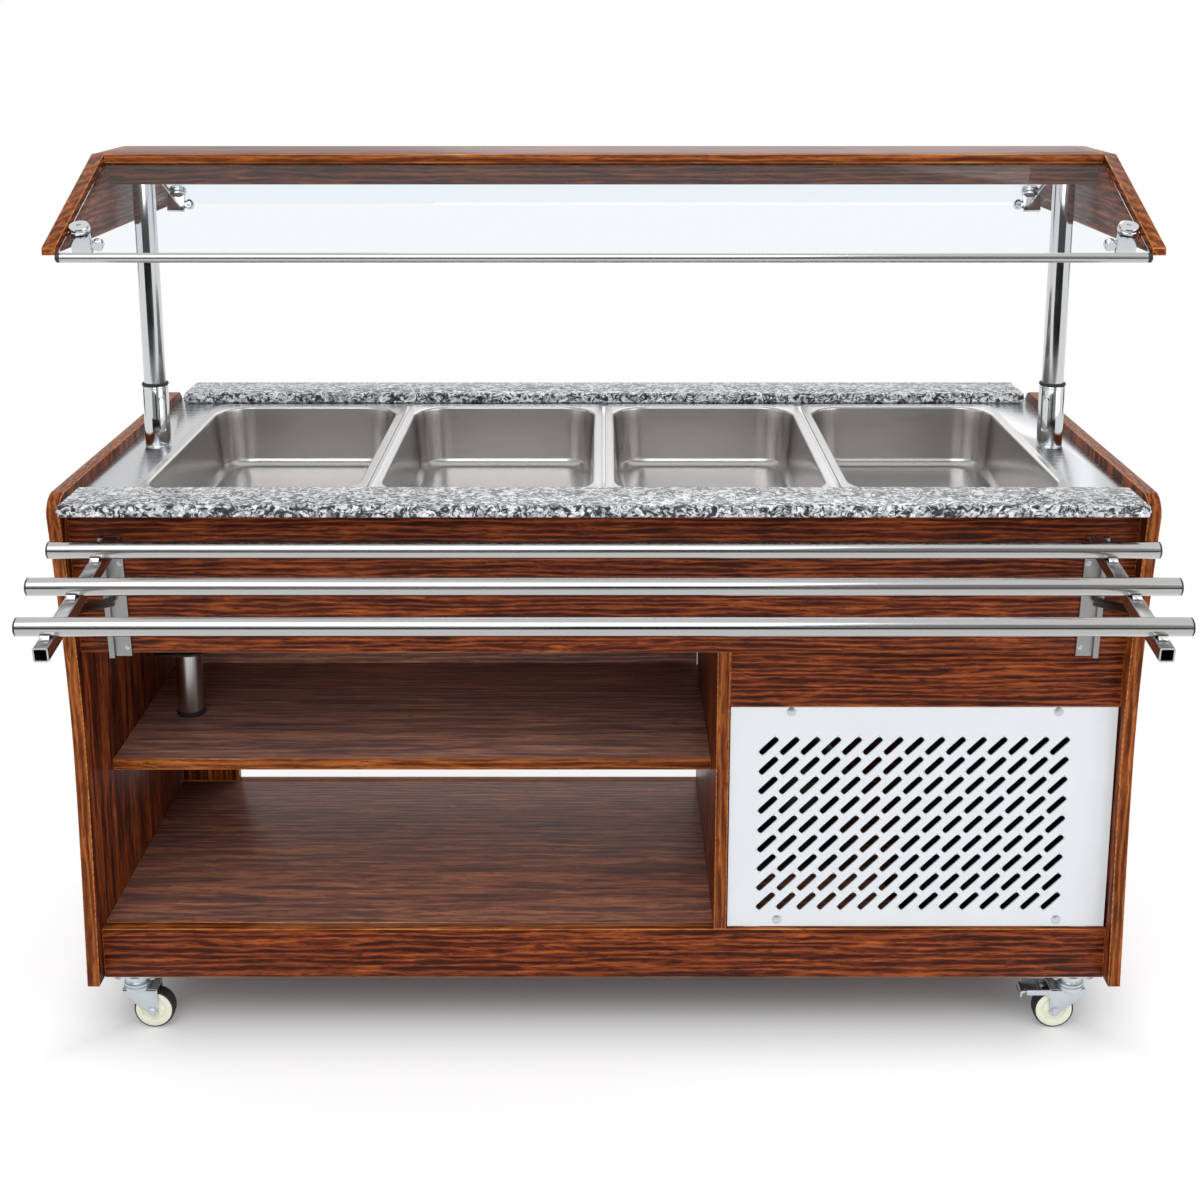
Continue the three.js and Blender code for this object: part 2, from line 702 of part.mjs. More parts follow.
// A closed solid from rings joined one after another, with both ends filled by a fan.
function loft(rings) {
  const count = rings[0].length;
  const positions = rings.flat(2);
  const index = [];
  for (let level = 0; level + 1 < rings.length; level += 1) {
    for (let i = 0; i < count; i += 1) {
      const a = level * count + i;
      const b = level * count + ((i + 1) % count);
      index.push(a, b, b + count, a, b + count, a + count);
    }
  }
  const last = (rings.length - 1) * count;
  for (let i = 1; i + 1 < count; i += 1) {
    index.push(0, i + 1, i);
    index.push(last, last + i, last + i + 1);
  }
  const geometry = new THREE.BufferGeometry();
  geometry.setAttribute('position', new THREE.Float32BufferAttribute(positions, 3));
  geometry.setIndex(index);
  return geometry;
}

// The rings run up the outside of the body, round the rim and down the inside to the floor.
function panGeometry() {
  const rimTop = ledgeBottom + panRimThickness;
  const floor = ledgeBottom - panDepth;
  const outer = (inset, z) => (
    roundedRing(panBodyHalfX - inset, panBodyHalfY - inset, panCornerRadius - inset, z)
  );
  return loft([
    outer(panDraft + panFloorRadius, floor),
    outer(panDraft, floor + panFloorRadius),
    outer(0, ledgeBottom),
    roundedRing(panWidth / 2, panLength / 2, panRimRadius, ledgeBottom),
    roundedRing(panWidth / 2, panLength / 2, panRimRadius, rimTop),
    outer(panWall, rimTop),
    outer(panDraft + panWall, floor + panFloorRadius + panWall),
    outer(panDraft + panFloorRadius + panWall, floor + panWall),
  ]);
}

function buildPans() {
  for (let i = 0; i < panCount; i += 1) {
    addMesh(`food_pan_${i + 1}`, panGeometry().translate((i - panRow) * panPitch, 0, 0), finish.steel);
  }
}

// ---------------------------------------------------------------------------------------------------------
// Posts and canopy
// ---------------------------------------------------------------------------------------------------------

function buildPosts() {
  const collar = sleeveRadius + collarProud;
  for (const [side, sign] of sides) {
    const sleeve = turned([
      [sleeveBore, sleeveBottom],
      [sleeveRadius, sleeveBottom],
      [sleeveRadius, sleeveTop - collarHeight],
      [collar, sleeveTop - collarHeight],
      [collar, sleeveTop],
      [sleeveBore, sleeveTop],
      [sleeveBore, sleeveBottom],
    ]);
    addMesh(`post_sleeve_${side}`, sleeve.translate(sign * postX, 0, 0), finish.chrome);
    const postTop = housingTop - housingWall - seatGap;
    const post = tube(postRadius, postRadius - postWall, postBottom, postTop);
    addMesh(`canopy_post_${side}`, post.translate(sign * postX, 0, 0), finish.chrome);
  }
}

// The left sleeve stands on the leg's top plate, and the leg on the shelf beside it.
function buildSupportLeg() {
  const foot = shelfTop + seatGap;
  const plateTop = sleeveBottom - seatGap;
  const underPlate = plateTop - flangeThickness;
  const leg = turned([
    [0, foot],
    [legFootRadius, foot],
    [legFootRadius, foot + legFootHeight],
    [legRadius, foot + legFootHeight],
    [legRadius, underPlate + 1],
    [0, underPlate + 1],
  ]);
  leg.translate(-legX, legY, 0);
  const reach = Math.max(legRadius, sleeveRadius) + flangeMargin;
  const flange = block(-postX - reach, -legX + reach, legY - reach, reach, underPlate, plateTop);
  addMesh('support_leg', join(leg, flange), finish.chrome);
}

// The light housing is a channel, open below, that the posts reach up into.
function buildCanopy() {
  const boardBottom = canopyTop - canopyBoard;
  const top = block(-canopySpan, canopySpan, -canopyBoardHalf, canopyBoardHalf, boardBottom, canopyTop);
  addMesh('canopy_top_board', top, finish.wood);
  const outer = block(-canopySpan, canopySpan, -housingHalf, housingHalf, housingBottom, housingTop);
  const spanInside = canopySpan - housingWall;
  const halfInside = housingHalf - housingWall;
  const ceiling = housingTop - housingWall;
  const hollow = block(-spanInside, spanInside, -halfInside, halfInside, housingBottom - 1, ceiling);
  addMesh('light_housing', cut(outer, hollow), finish.wood);
  const lampHalf = halfInside - seatGap;
  const lampBottom = housingBottom + diffuserRecess;
  const lampTop = lampBottom + diffuserThickness;
  const lamp = block(-diffuserHalf, diffuserHalf, -lampHalf, lampHalf, lampBottom, lampTop);
  addMesh('lamp_diffuser', lamp, finish.lamp);
  const tip = canopyEndBottom + canopyTip;
  const endShape = polygon([
    [-canopyEndHalf, canopyEndBottom],
    [canopyEndHalf, canopyEndBottom],
    [canopyEndHalf, tip],
    [canopyBoardHalf, canopyTop],
    [-canopyBoardHalf, canopyTop],
    [-canopyEndHalf, tip],
  ]);
  for (const [side, sign] of sides) {
    const x0 = sign > 0 ? canopyInner : -canopyHalf;
    addMesh(`canopy_end_${side}`, profileBoard(endShape, x0, x0 + canopyEnd), finish.wood);
  }
}

// Each pane rises inward to the top board, and the front one from the rail along its lower edge.
function buildGlass() {
  const half = canopyInner - glassEndGap;
  for (const [name, sign] of [['front', -1], ['rear', 1]]) {
    const halfThick = glassThickness / 2;
    const pane = block(-half, half, railRadius + seatGap, glassReach, -halfThick, halfThick);
    pane.rotateX(glassSlope);
    if (sign > 0) pane.rotateZ(Math.PI);
    addMesh(`glass_${name}`, pane.translate(0, sign * railHalf, railHeight), finish.glass);
  }
  const rail = barX(railRadius, -canopySpan, canopySpan, -railHalf, railHeight, 16);
  addMesh('glass_rail_front', rail, finish.steel);
}

// ---------------------------------------------------------------------------------------------------------
// Tray slide
// ---------------------------------------------------------------------------------------------------------

// A point of the tray slide: s along the arm from its pivot, n square to it and upward.
function trayPoint(s, n) {
  const y = -trayPivotHalf - s * Math.cos(traySlope) - n * Math.sin(traySlope);
  const z = trayPivotHeight - s * Math.sin(traySlope) + n * Math.cos(traySlope);
  return [y, z];
}

// A square tube, made with +Y along it, that slopes down and forward from its pin.
function buildTrayArm(side, x) {
  const bar = block(-trayArmHalf, trayArmHalf, -trayArmHeel, trayArmLength, -trayArmHalf, trayArmHalf);
  const bore = trayArmHalf - trayArmWall;
  const hollow = block(-bore, bore, -trayArmHeel - 1, trayArmLength + 1, -bore, bore);
  const pinHole = barX(pivotPinRadius + runGap, -trayArmSize, trayArmSize, 0, 0, 16);
  const arm = cut(bar, hollow, pinHole).rotateZ(Math.PI).rotateX(traySlope);
  addMesh(`tray_arm_${side}`, arm.translate(x, -trayPivotHalf, trayPivotHeight), finish.steel);
}

// A box between two distances outboard of the arm's middle, on the left or the right.
function outboardBlock(sign, from, to, y0, y1, z0, z1) {
  const x = [sign * (trayArmX + from), sign * (trayArmX + to)];
  return block(Math.min(...x), Math.max(...x), y0, y1, z0, z1);
}

// The wall plate lies on the apron's leaning face; its ears carry the arm's pin and the strut's pin.
function buildWallPlate(side, sign) {
  const outerEdge = plateOffset + plateWidth / 2;
  const innerEdge = plateOffset - plateWidth / 2;
  const leaning = (from, to, proud) => {
    const x = [sign * (trayArmX + from), sign * (trayArmX + to)];
    const face = (height) => -apronHalfAt(height) - seatGap;
    const outline = polygon([
      [face(plateBottom) - proud, plateBottom],
      [face(plateBottom), plateBottom],
      [face(plateTop), plateTop],
      [face(plateTop) - proud, plateTop],
    ]);
    return profileBoard(outline, Math.min(...x), Math.max(...x));
  };
  const sheet = leaning(innerEdge, outerEdge, plateThickness);
  const rib = leaning(outerEdge - plateRibWidth, outerEdge, plateThickness + plateRibDepth);
  const earInside = trayArmHalf + earGap;
  const earOutside = earInside + earThickness;
  const earBottom = trayPivotHeight - earHalfHeight;
  const earTop = trayPivotHeight + earHalfHeight;
  const armEar = (from, to) => outboardBlock(sign, from, to, -trayPivotHalf - earNose,
    -apronHalfAt(earTop) - 1, earBottom, earTop);
  const armPin = barX(pivotPinRadius, -earOutside, earOutside, -trayPivotHalf, trayPivotHeight, 16);
  armPin.translate(sign * trayArmX, 0, 0);
  const strutZ = trayPivotHeight - strutPivotDrop;
  const strutY = -apronHalfAt(strutZ) - strutStandOff;
  const strutFrom = trayArmHalf - strutInset - strutThickness;
  const lugFrom = trayArmHalf - strutInset + earGap;
  const lug = outboardBlock(sign, lugFrom, outerEdge - 1, strutY - strutWidth / 2 + 1,
    -apronHalfAt(strutZ + earHalfHeight) - 1, strutZ - strutWidth / 2, strutZ + strutWidth / 2);
  const strutPin = barX(strutPinRadius, strutFrom - 1, lugFrom + 1, strutY, strutZ, 12);
  if (sign < 0) strutPin.rotateZ(Math.PI).translate(0, 2 * strutY, 0);
  strutPin.translate(sign * trayArmX, 0, 0);
  const ears = [armEar(earInside, earOutside), armEar(-earOutside, -earInside)];
  addMesh(`wall_plate_${side}`, join(sheet, rib, ...ears, armPin, lug, strutPin), finish.zinc);
}

// A blade from the wall plate to the underside of the arm, with round ends.
function buildTrayStrut(side, sign) {
  const r = strutWidth / 2;
  const strutZ = trayPivotHeight - strutPivotDrop;
  const strutY = -apronHalfAt(strutZ) - strutStandOff;
  const [tipY, tipZ] = trayPoint(strutReach, -trayArmHalf - runGap - r);
  const length = Math.hypot(tipY - strutY, tipZ - strutZ);
  const shape = new THREE.Shape();
  shape.absarc(0, 0, r, Math.PI / 2, Math.PI * 1.5, false);
  shape.absarc(length, 0, r, -Math.PI / 2, Math.PI / 2, false);
  shape.holes.push(circlePath(0, 0, strutPinRadius + runGap));
  const blade = extrude(shape, strutThickness, 6).rotateZ(Math.atan2(tipZ - strutZ, tipY - strutY));
  const outboard = sign * (trayArmX + trayArmHalf - strutInset);
  alongX(blade).translate(sign > 0 ? outboard - strutThickness : outboard, strutY, strutZ);
  addMesh(`tray_strut_${side}`, blade, finish.darkSteel);
}

function buildTraySlide() {
  const offset = trayArmHalf + seatGap + trayTubeRadius;
  trayTubes.forEach(([name, inset], i) => {
    const half = panelOuter - inset;
    const [y, z] = trayPoint(trayTubeFirst + i * trayTubePitch, offset);
    const pipe = tube(trayTubeRadius, trayTubeRadius - trayTubeWall, -half, half).rotateY(Math.PI / 2);
    addMesh(`tray_tube_${name}`, pipe.translate(0, y, z), finish.steel);
  });
  for (const [side, sign] of sides) {
    buildTrayArm(side, sign * trayArmX);
    buildWallPlate(side, sign);
    buildTrayStrut(side, sign);
  }
}

// ---------------------------------------------------------------------------------------------------------
// Casters
// ---------------------------------------------------------------------------------------------------------

const crownTop = crownBottom + crownThickness;
const cheekInner = wheelHubWidth / 2 + cheekGap;
const cheekOuter = cheekInner + cheekThickness;

// A fork about its swivel axis, with the wheel trailing towards +X.
// The braked one carries its pedal on arms.
function forkGeometry(braked) {
  const heel = -raceRadius;
  const toe = casterTrail + forkEye;
  const cheek = new THREE.Shape();
  cheek.moveTo(heel, crownTop);
  cheek.lineTo(heel, crownBottom);
  cheek.lineTo(casterTrail - forkEye, wheelRadius);
  cheek.absarc(casterTrail, wheelRadius, forkEye, Math.PI, Math.PI * 2, false);
  if (braked) {
    cheek.lineTo(brakeX - forkEye, brakeHeight - brakeArmHeight / 2);
    cheek.lineTo(brakeArmEnd, brakeHeight - brakeArmHeight / 2);
    cheek.lineTo(brakeArmEnd, brakeHeight + brakeArmHeight / 2);
    cheek.lineTo(toe, brakeHeight + brakeArmHeight / 2);
  }
  cheek.lineTo(toe, crownTop);
  const cheeks = [-cheekOuter, cheekInner].map((y) => facingBoard(cheek, y, y + cheekThickness, 6));
  const crown = block(heel, toe, -cheekOuter, cheekOuter, crownBottom, crownTop);
  const race = turned([
    [0, crownBottom],
    [raceRadius, crownBottom],
    [raceRadius, crownTop + raceRim],
    [raceNeckRadius, crownTop + raceRim],
    [raceNeckRadius, casterTop - seatGap],
    [0, casterTop - seatGap],
  ]);
  const axle = barY(axleRadius, -cheekOuter, cheekOuter, casterTrail, wheelRadius, 12);
  return join(crown, race, ...cheeks, axle);
}

// A wheel about its axle along Y, with a flat facet downward.
function wheelGeometry() {
  const tread = wheelRadius / Math.cos(Math.PI / wheelSides);
  const bore = axleRadius + runGap;
  const half = wheelWidth / 2;
  const hub = wheelHubWidth / 2;
  const shoulder = half * 0.6;
  const wheel = turned([
    [bore, -hub],
    [wheelHubRadius, -hub],
    [tread * 0.7, -half],
    [tread * 0.94, -half],
    [tread, -shoulder],
    [tread, shoulder],
    [tread * 0.94, half],
    [tread * 0.7, half],
    [wheelHubRadius, hub],
    [bore, hub],
    [bore, -hub],
  ], wheelSides);
  return wheel.rotateZ(Math.PI / wheelSides).rotateX(Math.PI / 2);
}

// A brake pedal about the swivel axis of a fork whose wheel trails towards +X.
function brakeGeometry() {
  const half = cheekInner - seatGap;
  const tip = brakeX + brakeReach;
  const outline = polygon([
    [brakeX, brakeHeight - brakePlate / 2],
    [tip - brakePlate, brakeHeight - brakePlate * 1.5],
    [tip - brakePlate, brakeHeight - brakeArmHeight],
    [tip, brakeHeight - brakeArmHeight],
    [tip, brakeHeight + brakePlate / 2],
    [brakeX, brakeHeight + brakePlate / 2],
  ]);
  const barrel = barY(brakePinRadius, -half, half, brakeX, brakeHeight, 12);
  return join(facingBoard(outline, -half, half), barrel);
}

function buildCasters() {
  for (const [end, y] of [['front', casterFront], ['rear', casterRear]]) {
    for (const [side, sign] of sides) {
      const name = `${end}_${side}`;
      const x = sign * casterX;
      const braked = sign > 0;
      // A fork on the right is turned half a turn, so that every wheel trails inward.
      const turn = braked ? Math.PI : 0;
      addMesh(`caster_fork_${name}`, forkGeometry(braked).rotateZ(turn).translate(x, y, 0), finish.zinc);
      const wheelX = x - sign * casterTrail;
      addMesh(`caster_wheel_${name}`, wheelGeometry().translate(wheelX, y, wheelRadius), finish.rubber);
      if (braked) {
        addMesh(`brake_pedal_${name}`, brakeGeometry().rotateZ(turn).translate(x, y, 0), finish.zinc);
      }
    }
  }
}

// ---------------------------------------------------------------------------------------------------------

buildSidePanels();
buildBase();
buildInnerBoards();
buildAprons();
buildGrille();
buildGrilleRail();
buildRearPanel();
buildCompressor();
buildCondenser();
buildWorktop();
buildWell();
buildPans();
buildPosts();
buildSupportLeg();
buildCanopy();
buildGlass();
buildTraySlide();
buildCasters();

saladBar.position.y = (trayReach - ledgeOuter) / 2;

export default saladBar;
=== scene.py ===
"""Looks of the mobile salad bar.

A walnut-laminate cabinet on casters carries a steel worktop with four food pans between two
granite ledges. A glazed canopy stands on two telescopic posts. A folding tray slide hangs on the
front apron.
"""

import logging
import math
from dataclasses import dataclass, field
from enum import Enum
from typing import Any, Optional, Sequence, Union

import bmesh
import bpy
from mathutils import Matrix, Vector


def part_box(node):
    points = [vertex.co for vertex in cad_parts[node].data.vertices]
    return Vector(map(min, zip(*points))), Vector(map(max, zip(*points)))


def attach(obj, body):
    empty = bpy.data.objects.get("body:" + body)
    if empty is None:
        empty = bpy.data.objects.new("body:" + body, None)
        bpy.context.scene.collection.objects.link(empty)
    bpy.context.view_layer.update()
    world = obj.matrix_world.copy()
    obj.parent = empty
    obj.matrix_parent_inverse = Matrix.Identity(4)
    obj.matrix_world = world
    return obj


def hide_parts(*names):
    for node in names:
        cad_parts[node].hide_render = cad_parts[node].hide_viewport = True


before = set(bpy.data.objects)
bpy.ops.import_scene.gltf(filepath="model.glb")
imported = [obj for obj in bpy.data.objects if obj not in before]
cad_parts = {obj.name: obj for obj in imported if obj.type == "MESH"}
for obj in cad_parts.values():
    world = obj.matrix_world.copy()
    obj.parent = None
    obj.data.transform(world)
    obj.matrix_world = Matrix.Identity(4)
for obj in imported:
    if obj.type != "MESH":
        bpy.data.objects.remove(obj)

LOG = logging.getLogger("salad_bar")
MM = 0.001
MM_PER_M = 1000
POSTS_Y = 113.0
SHARP_EDGE = math.radians(32)  # an edge that turns further than this is rounded
FLAT_EDGE = math.radians(0.5)  # faces that turn less than this are one face
CAD_WELD = 0.005  # mm, between corners of a CAD node's triangles that are one corner
SEAM_WELD = 0.001  # mm, between corners that a made shape shares with itself
CASTER_ROWS = (("front", -239.0), ("rear", 170.0))
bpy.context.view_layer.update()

Point = tuple[float, float, float]
Flat = tuple[float, float]
Colour = tuple[float, float, float, float]


class Axis(Enum):
    """A direction of the row frame."""

    X = 0
    Y = 1
    Z = 2


def along(axis: Axis) -> Matrix:
    """Turn +Z to an axis.

    Args:
        axis: The direction to turn to.

    Returns:
        The rotation.
    """
    if axis is Axis.X:
        return Matrix.Rotation(math.pi / 2, 4, "Y")
    if axis is Axis.Y:
        return Matrix.Rotation(-math.pi / 2, 4, "X")
    return Matrix.Identity(4)


def linear(hex_colour: str) -> Colour:
    """Turn an sRGB colour to linear light.

    Args:
        hex_colour: Six hex digits after a hash sign.

    Returns:
        Red, green, blue and full opacity.
    """
    parts = [int(hex_colour[i:i + 2], 16) / 255 for i in (1, 3, 5)]
    curve = [c / 12.92 if c <= 0.04045 else ((c + 0.055) / 1.055) ** 2.4 for c in parts]
    return (curve[0], curve[1], curve[2], 1.0)


def add_node(tree: bpy.types.NodeTree, kind: str, settings: Optional[dict[str, Any]] = None,
             inputs: Optional[dict[Union[str, int], Any]] = None) -> bpy.types.Node:
    """Add a node with its settings and links.

    Args:
        tree: The tree to add it to.
        kind: The node's type.
        settings: Its properties.
        inputs: Values or sockets for its inputs, by name or number.

    Returns:
        The node.
    """
    node = tree.nodes.new(kind)
    for key, value in (settings or {}).items():
        setattr(node, key, value)
    for key, value in (inputs or {}).items():
        if isinstance(value, bpy.types.NodeSocket):
            tree.links.new(value, node.inputs[key])
        else:
            node.inputs[key].default_value = value
    return node


def set_ramp(node: bpy.types.Node, stops: Sequence[tuple[float, str]]) -> None:
    """Give a colour ramp its stops.

    Args:
        node: The ramp.
        stops: Positions and sRGB colours, in order.
    """
    ramp = node.color_ramp
    while len(ramp.elements) < len(stops):
        ramp.elements.new(0.5)
    for element, (position, colour) in zip(ramp.elements, stops):
        element.position = position
        element.color = linear(colour)


# --------------------------------------------------------------------------------------------------
# Finishes
# --------------------------------------------------------------------------------------------------

@dataclass(frozen=True)
class Finish:
    """A surface of the real object, named for its material, how it was made and any painted light
    or shade.
    """

    name: str
    slot: str

    def material(self) -> bpy.types.Material:
        """Return the finish's material, made once."""
        found = bpy.data.materials.get(self.name)
        if found is not None:
            return found
        made = bpy.data.materials.new(self.name)
        made.use_nodes = True
        self.paint(made.node_tree, made.node_tree.nodes["Principled BSDF"])
        return made

    def paint(self, tree: bpy.types.NodeTree, shader: bpy.types.Node) -> None:
        """Set the shader and its pattern.

        Args:
            tree: The material's tree.
            shader: Its Principled shader.
        """
        raise NotImplementedError

    @staticmethod
    def place(tree: bpy.types.NodeTree, scale: Point, turn: Point = (0.0, 0.0, 0.0),
              shift: Point = (0.0, 0.0, 0.0)) -> bpy.types.NodeSocket:
        """Return Object coordinates, turned, scaled and shifted.

        Args:
            tree: The material's tree.
            scale: The scale along each axis.
            turn: Angles in radians.
            shift: The pattern's shift.

        Returns:
            The vector's socket.
        """
        where = add_node(tree, "ShaderNodeTexCoord")
        mapped = add_node(tree, "ShaderNodeMapping", None, {
            "Vector": where.outputs["Object"], "Scale": scale, "Rotation": turn, "Location": shift})
        return mapped.outputs["Vector"]

    @staticmethod
    def bump(tree: bpy.types.NodeTree, shader: bpy.types.Node, height: bpy.types.NodeSocket,
             depth_mm: float, strength: float) -> None:
        """Raise the surface by a pattern.

        Args:
            tree: The material's tree.
            shader: Its Principled shader.
            height: The pattern, 0 to 1.
            depth_mm: Its depth in millimetres.
            strength: How much of it shows.
        """
        bump = add_node(tree, "ShaderNodeBump", None, {
            "Height": height, "Distance": depth_mm * MM, "Strength": strength})
        tree.links.new(bump.outputs["Normal"], shader.inputs["Normal"])


class Walnut(Enum):
    """Colours of the walnut print, dark pores to orange streaks; some copies paint in light or
    shade.
    """

    FACE = ("#2f130e", "#572415", "#7c391e", "#b15c2c")
    EDGE = ("#4f2411", "#7a3d1b", "#985024", "#bd7237")
    # The next two are lighter copies of the print: painted light on the inner boards.
    INNER_PAINTED_LIGHT = ("#4a2a22", "#764230", "#955539", "#c07a4e")
    PALE_PAINTED_LIGHT = ("#553027", "#945644", "#ba7252", "#e6a676")
    # A darker copy of the print: painted shade for the lamp's beam board under the top board.
    HOUSING_PAINTED_SHADE = ("#260f0b", "#431e12", "#5d2d1a", "#844a26")
    # A lighter orange copy for the rounded arrises: painted highlight along the board edges.
    ARRIS_PAINTED_HIGHLIGHT = ("#8a4a22", "#b0682f", "#c47b3e", "#dc9f62")


@dataclass(frozen=True)
class WalnutLaminate(Finish):
    """Printed melamine laminate: long dark pores and wavy growth rings, semi-gloss, with a painted
    sheen haze.
    """

    grain: Axis
    tone: Walnut
    sheen: float = 0.1
    ring_mm: float = 8.0
    # Share of the grey haze over the wood: painted sheen.
    band_ramp_and_painted_sheen: float = 0.0
    pore_mm: float = 1.3
    stretch: float = 10.0
    roughness: float = 0.34

    def stretched(self, across: float) -> Point:
        """Return a scale with the grain's axis drawn out.

        Args:
            across: The scale across the grain.

        Returns:
            The scale along each axis.
        """
        scale = [across, across, across]
        scale[self.grain.value] = across / self.stretch
        return (scale[0], scale[1], scale[2])

    def paint(self, tree: bpy.types.NodeTree, shader: bpy.types.Node) -> None:
        """Draw rings, streaks and pores along the grain.

        Args:
            tree: The material's tree.
            shader: Its Principled shader.
        """
        dark, ground, light, streak = self.tone.value
        ring_scale = 2 * math.pi / 20 / (self.ring_mm * MM)
        rings = add_node(tree, "ShaderNodeTexWave", {
            "wave_type": "RINGS", "rings_direction": self.grain.name, "wave_profile": "SIN"}, {
            "Vector": self.place(tree, self.stretched(1.0), shift=(0.043, 0.031, 0.017)),
            "Scale": ring_scale, "Distortion": 10.0, "Detail": 4.0, "Detail Scale": 1.1,
            "Detail Roughness": 0.62})
        body = add_node(tree, "ShaderNodeValToRGB", None, {"Fac": rings.outputs["Fac"]})
        set_ramp(body, [(0.1, dark), (0.38, ground), (0.7, light), (0.97, streak)])
        bands = add_node(tree, "ShaderNodeTexNoise", None, {
            "Vector": self.place(tree, self.stretched(1.0)), "Scale": 92.0, "Detail": 6.0,
            "Roughness": 0.66, "Distortion": 0.9})
        # A second band of the print's own grain tones.
        band_ramp_and_painted_sheen = add_node(tree, "ShaderNodeValToRGB", None, {"Fac": bands.outputs["Fac"]})
        set_ramp(band_ramp_and_painted_sheen, [(0.39, dark), (0.49, ground), (0.56, light), (0.66, streak)])
        mixed = add_node(tree, "ShaderNodeMix", {"data_type": "RGBA"}, {
            0: 0.55, 6: body.outputs["Color"], 7: band_ramp_and_painted_sheen.outputs["Color"]})
        pores = add_node(tree, "ShaderNodeTexNoise", None, {
            "Vector": self.place(tree, self.stretched(1.0)), "Scale": 0.5 / (self.pore_mm * MM),
            "Detail": 3.0, "Roughness": 0.7})
        cut = add_node(tree, "ShaderNodeValToRGB", None, {"Fac": pores.outputs["Fac"]})
        set_ramp(cut, [(0.36, "#e6e6e6"), (0.46, "#000000")])
        inked = add_node(tree, "ShaderNodeMix", {"data_type": "RGBA"}, {
            0: cut.outputs["Color"], 6: mixed.outputs[2], 7: linear(dark)})
        # Grey haze mixed over the wood: painted sheen, the reflected light of the white
        # surroundings.
        painted_sheen_mix = add_node(tree, "ShaderNodeMix", {"data_type": "RGBA"}, {
            0: self.band_ramp_and_painted_sheen, 6: inked.outputs[2], 7: linear("#a1989b")})
        tree.links.new(painted_sheen_mix.outputs[2], shader.inputs["Base Color"])
        shader.inputs["Roughness"].default_value = self.roughness
        shader.inputs["Specular IOR Level"].default_value = self.sheen
        self.bump(tree, shader, pores.outputs["Fac"], 0.08, 0.25)


@dataclass(frozen=True)
class PolishedGranite(Finish):
    """Polished white granite: pale feldspar, grey quartz and black mica in coarse grains."""

    grain_mm: float = 12.5

    def paint(self, tree: bpy.types.NodeTree, shader: bpy.types.Node) -> None:
        """Lay mica streaks and quartz over feldspar crystals.

        Args:
            tree: The material's tree.
            shader: Its Principled shader.
        """
        where = self.place(tree, (1.0, 1.0, 1.3))
        crystals = add_node(tree, "ShaderNodeTexVoronoi", {"feature": "F1"}, {
            "Vector": where, "Scale": 1 / (self.grain_mm * 0.55 * MM), "Randomness": 1.0})
        tint = add_node(tree, "ShaderNodeSeparateColor", None, {"Color": crystals.outputs["Color"]})
        pale = add_node(tree, "ShaderNodeValToRGB", None, {"Fac": tint.outputs["Red"]})
        set_ramp(pale, [(0.0, "#8f9296"), (0.35, "#bfc1c4"), (1.0, "#f1f2f3")])
        flecks = add_node(tree, "ShaderNodeTexNoise", None, {
            "Vector": where, "Scale": 1 / (self.grain_mm * MM), "Detail": 3.5, "Roughness": 0.62,
            "Distortion": 1.6})
        quartz = add_node(tree, "ShaderNodeValToRGB", None, {"Fac": flecks.outputs["Fac"]})
        set_ramp(quartz, [(0.41, "#3f4247"), (0.47, "#84878c"), (0.515, "#ffffff")])
        ground = add_node(tree, "ShaderNodeMix", {"data_type": "RGBA", "blend_type": "MULTIPLY"}, {
            0: 1.0, 6: pale.outputs["Color"], 7: quartz.outputs["Color"]})
        mica = add_node(tree, "ShaderNodeTexNoise", None, {
            "Vector": self.place(tree, (1.0, 1.0, 1.0), shift=(3.1, 1.7, 0.4)),
            "Scale": 1 / (self.grain_mm * 1.15 * MM), "Detail": 5.0, "Roughness": 0.72,
            "Distortion": 2.2})
        black = add_node(tree, "ShaderNodeValToRGB", None, {"Fac": mica.outputs["Fac"]})
        set_ramp(black, [(0.405, "#ffffff"), (0.44, "#000000")])
        stone = add_node(tree, "ShaderNodeMix", {"data_type": "RGBA"}, {
            0: black.outputs["Color"], 6: ground.outputs[2], 7: linear("#2b2d31")})
        tree.links.new(stone.outputs[2], shader.inputs["Base Color"])
        shader.inputs["Roughness"].default_value = 0.16
        shader.inputs["IOR"].default_value = 1.4


@dataclass(frozen=True)
class BrushedSteel(Finish):
    """Stainless sheet ground with a belt: fine parallel scratches that draw out its highlights."""

    colour: str
    brushed: Axis
    roughness: float = 0.28
    scratch_mm: float = 1.2
    depth: float = 0.12
    streaks: float = 0.07

    def paint(self, tree: bpy.types.NodeTree, shader: bpy.types.Node) -> None:
        """Scratch the metal along one axis.

        Args:
            tree: The material's tree.
            shader: Its Principled shader.
        """
        scale = [1.0, 1.0, 1.0]
        scale[self.brushed.value] = 0.02
        lines = add_node(tree, "ShaderNodeTexNoise", None, {
            "Vector": self.place(tree, (scale[0], scale[1], scale[2])),
            "Scale": 1 / (self.scratch_mm * MM), "Detail": 4.0, "Roughness": 0.65})
        spread = add_node(tree, "ShaderNodeMapRange", None, {
            "Value": lines.outputs["Fac"], "From Min": 0.3, "From Max": 0.7,
            "To Min": self.roughness - 0.03, "To Max": self.roughness + 0.03})
        tone = add_node(tree, "ShaderNodeMix", {"data_type": "RGBA", "blend_type": "MULTIPLY"}, {
            0: self.streaks, 6: linear(self.colour), 7: lines.outputs["Color"]})
        tree.links.new(tone.outputs[2], shader.inputs["Base Color"])
        tree.links.new(spread.outputs["Result"], shader.inputs["Roughness"])
        shader.inputs["Metallic"].default_value = 1.0
        self.bump(tree, shader, lines.outputs["Fac"], 0.02, self.depth)


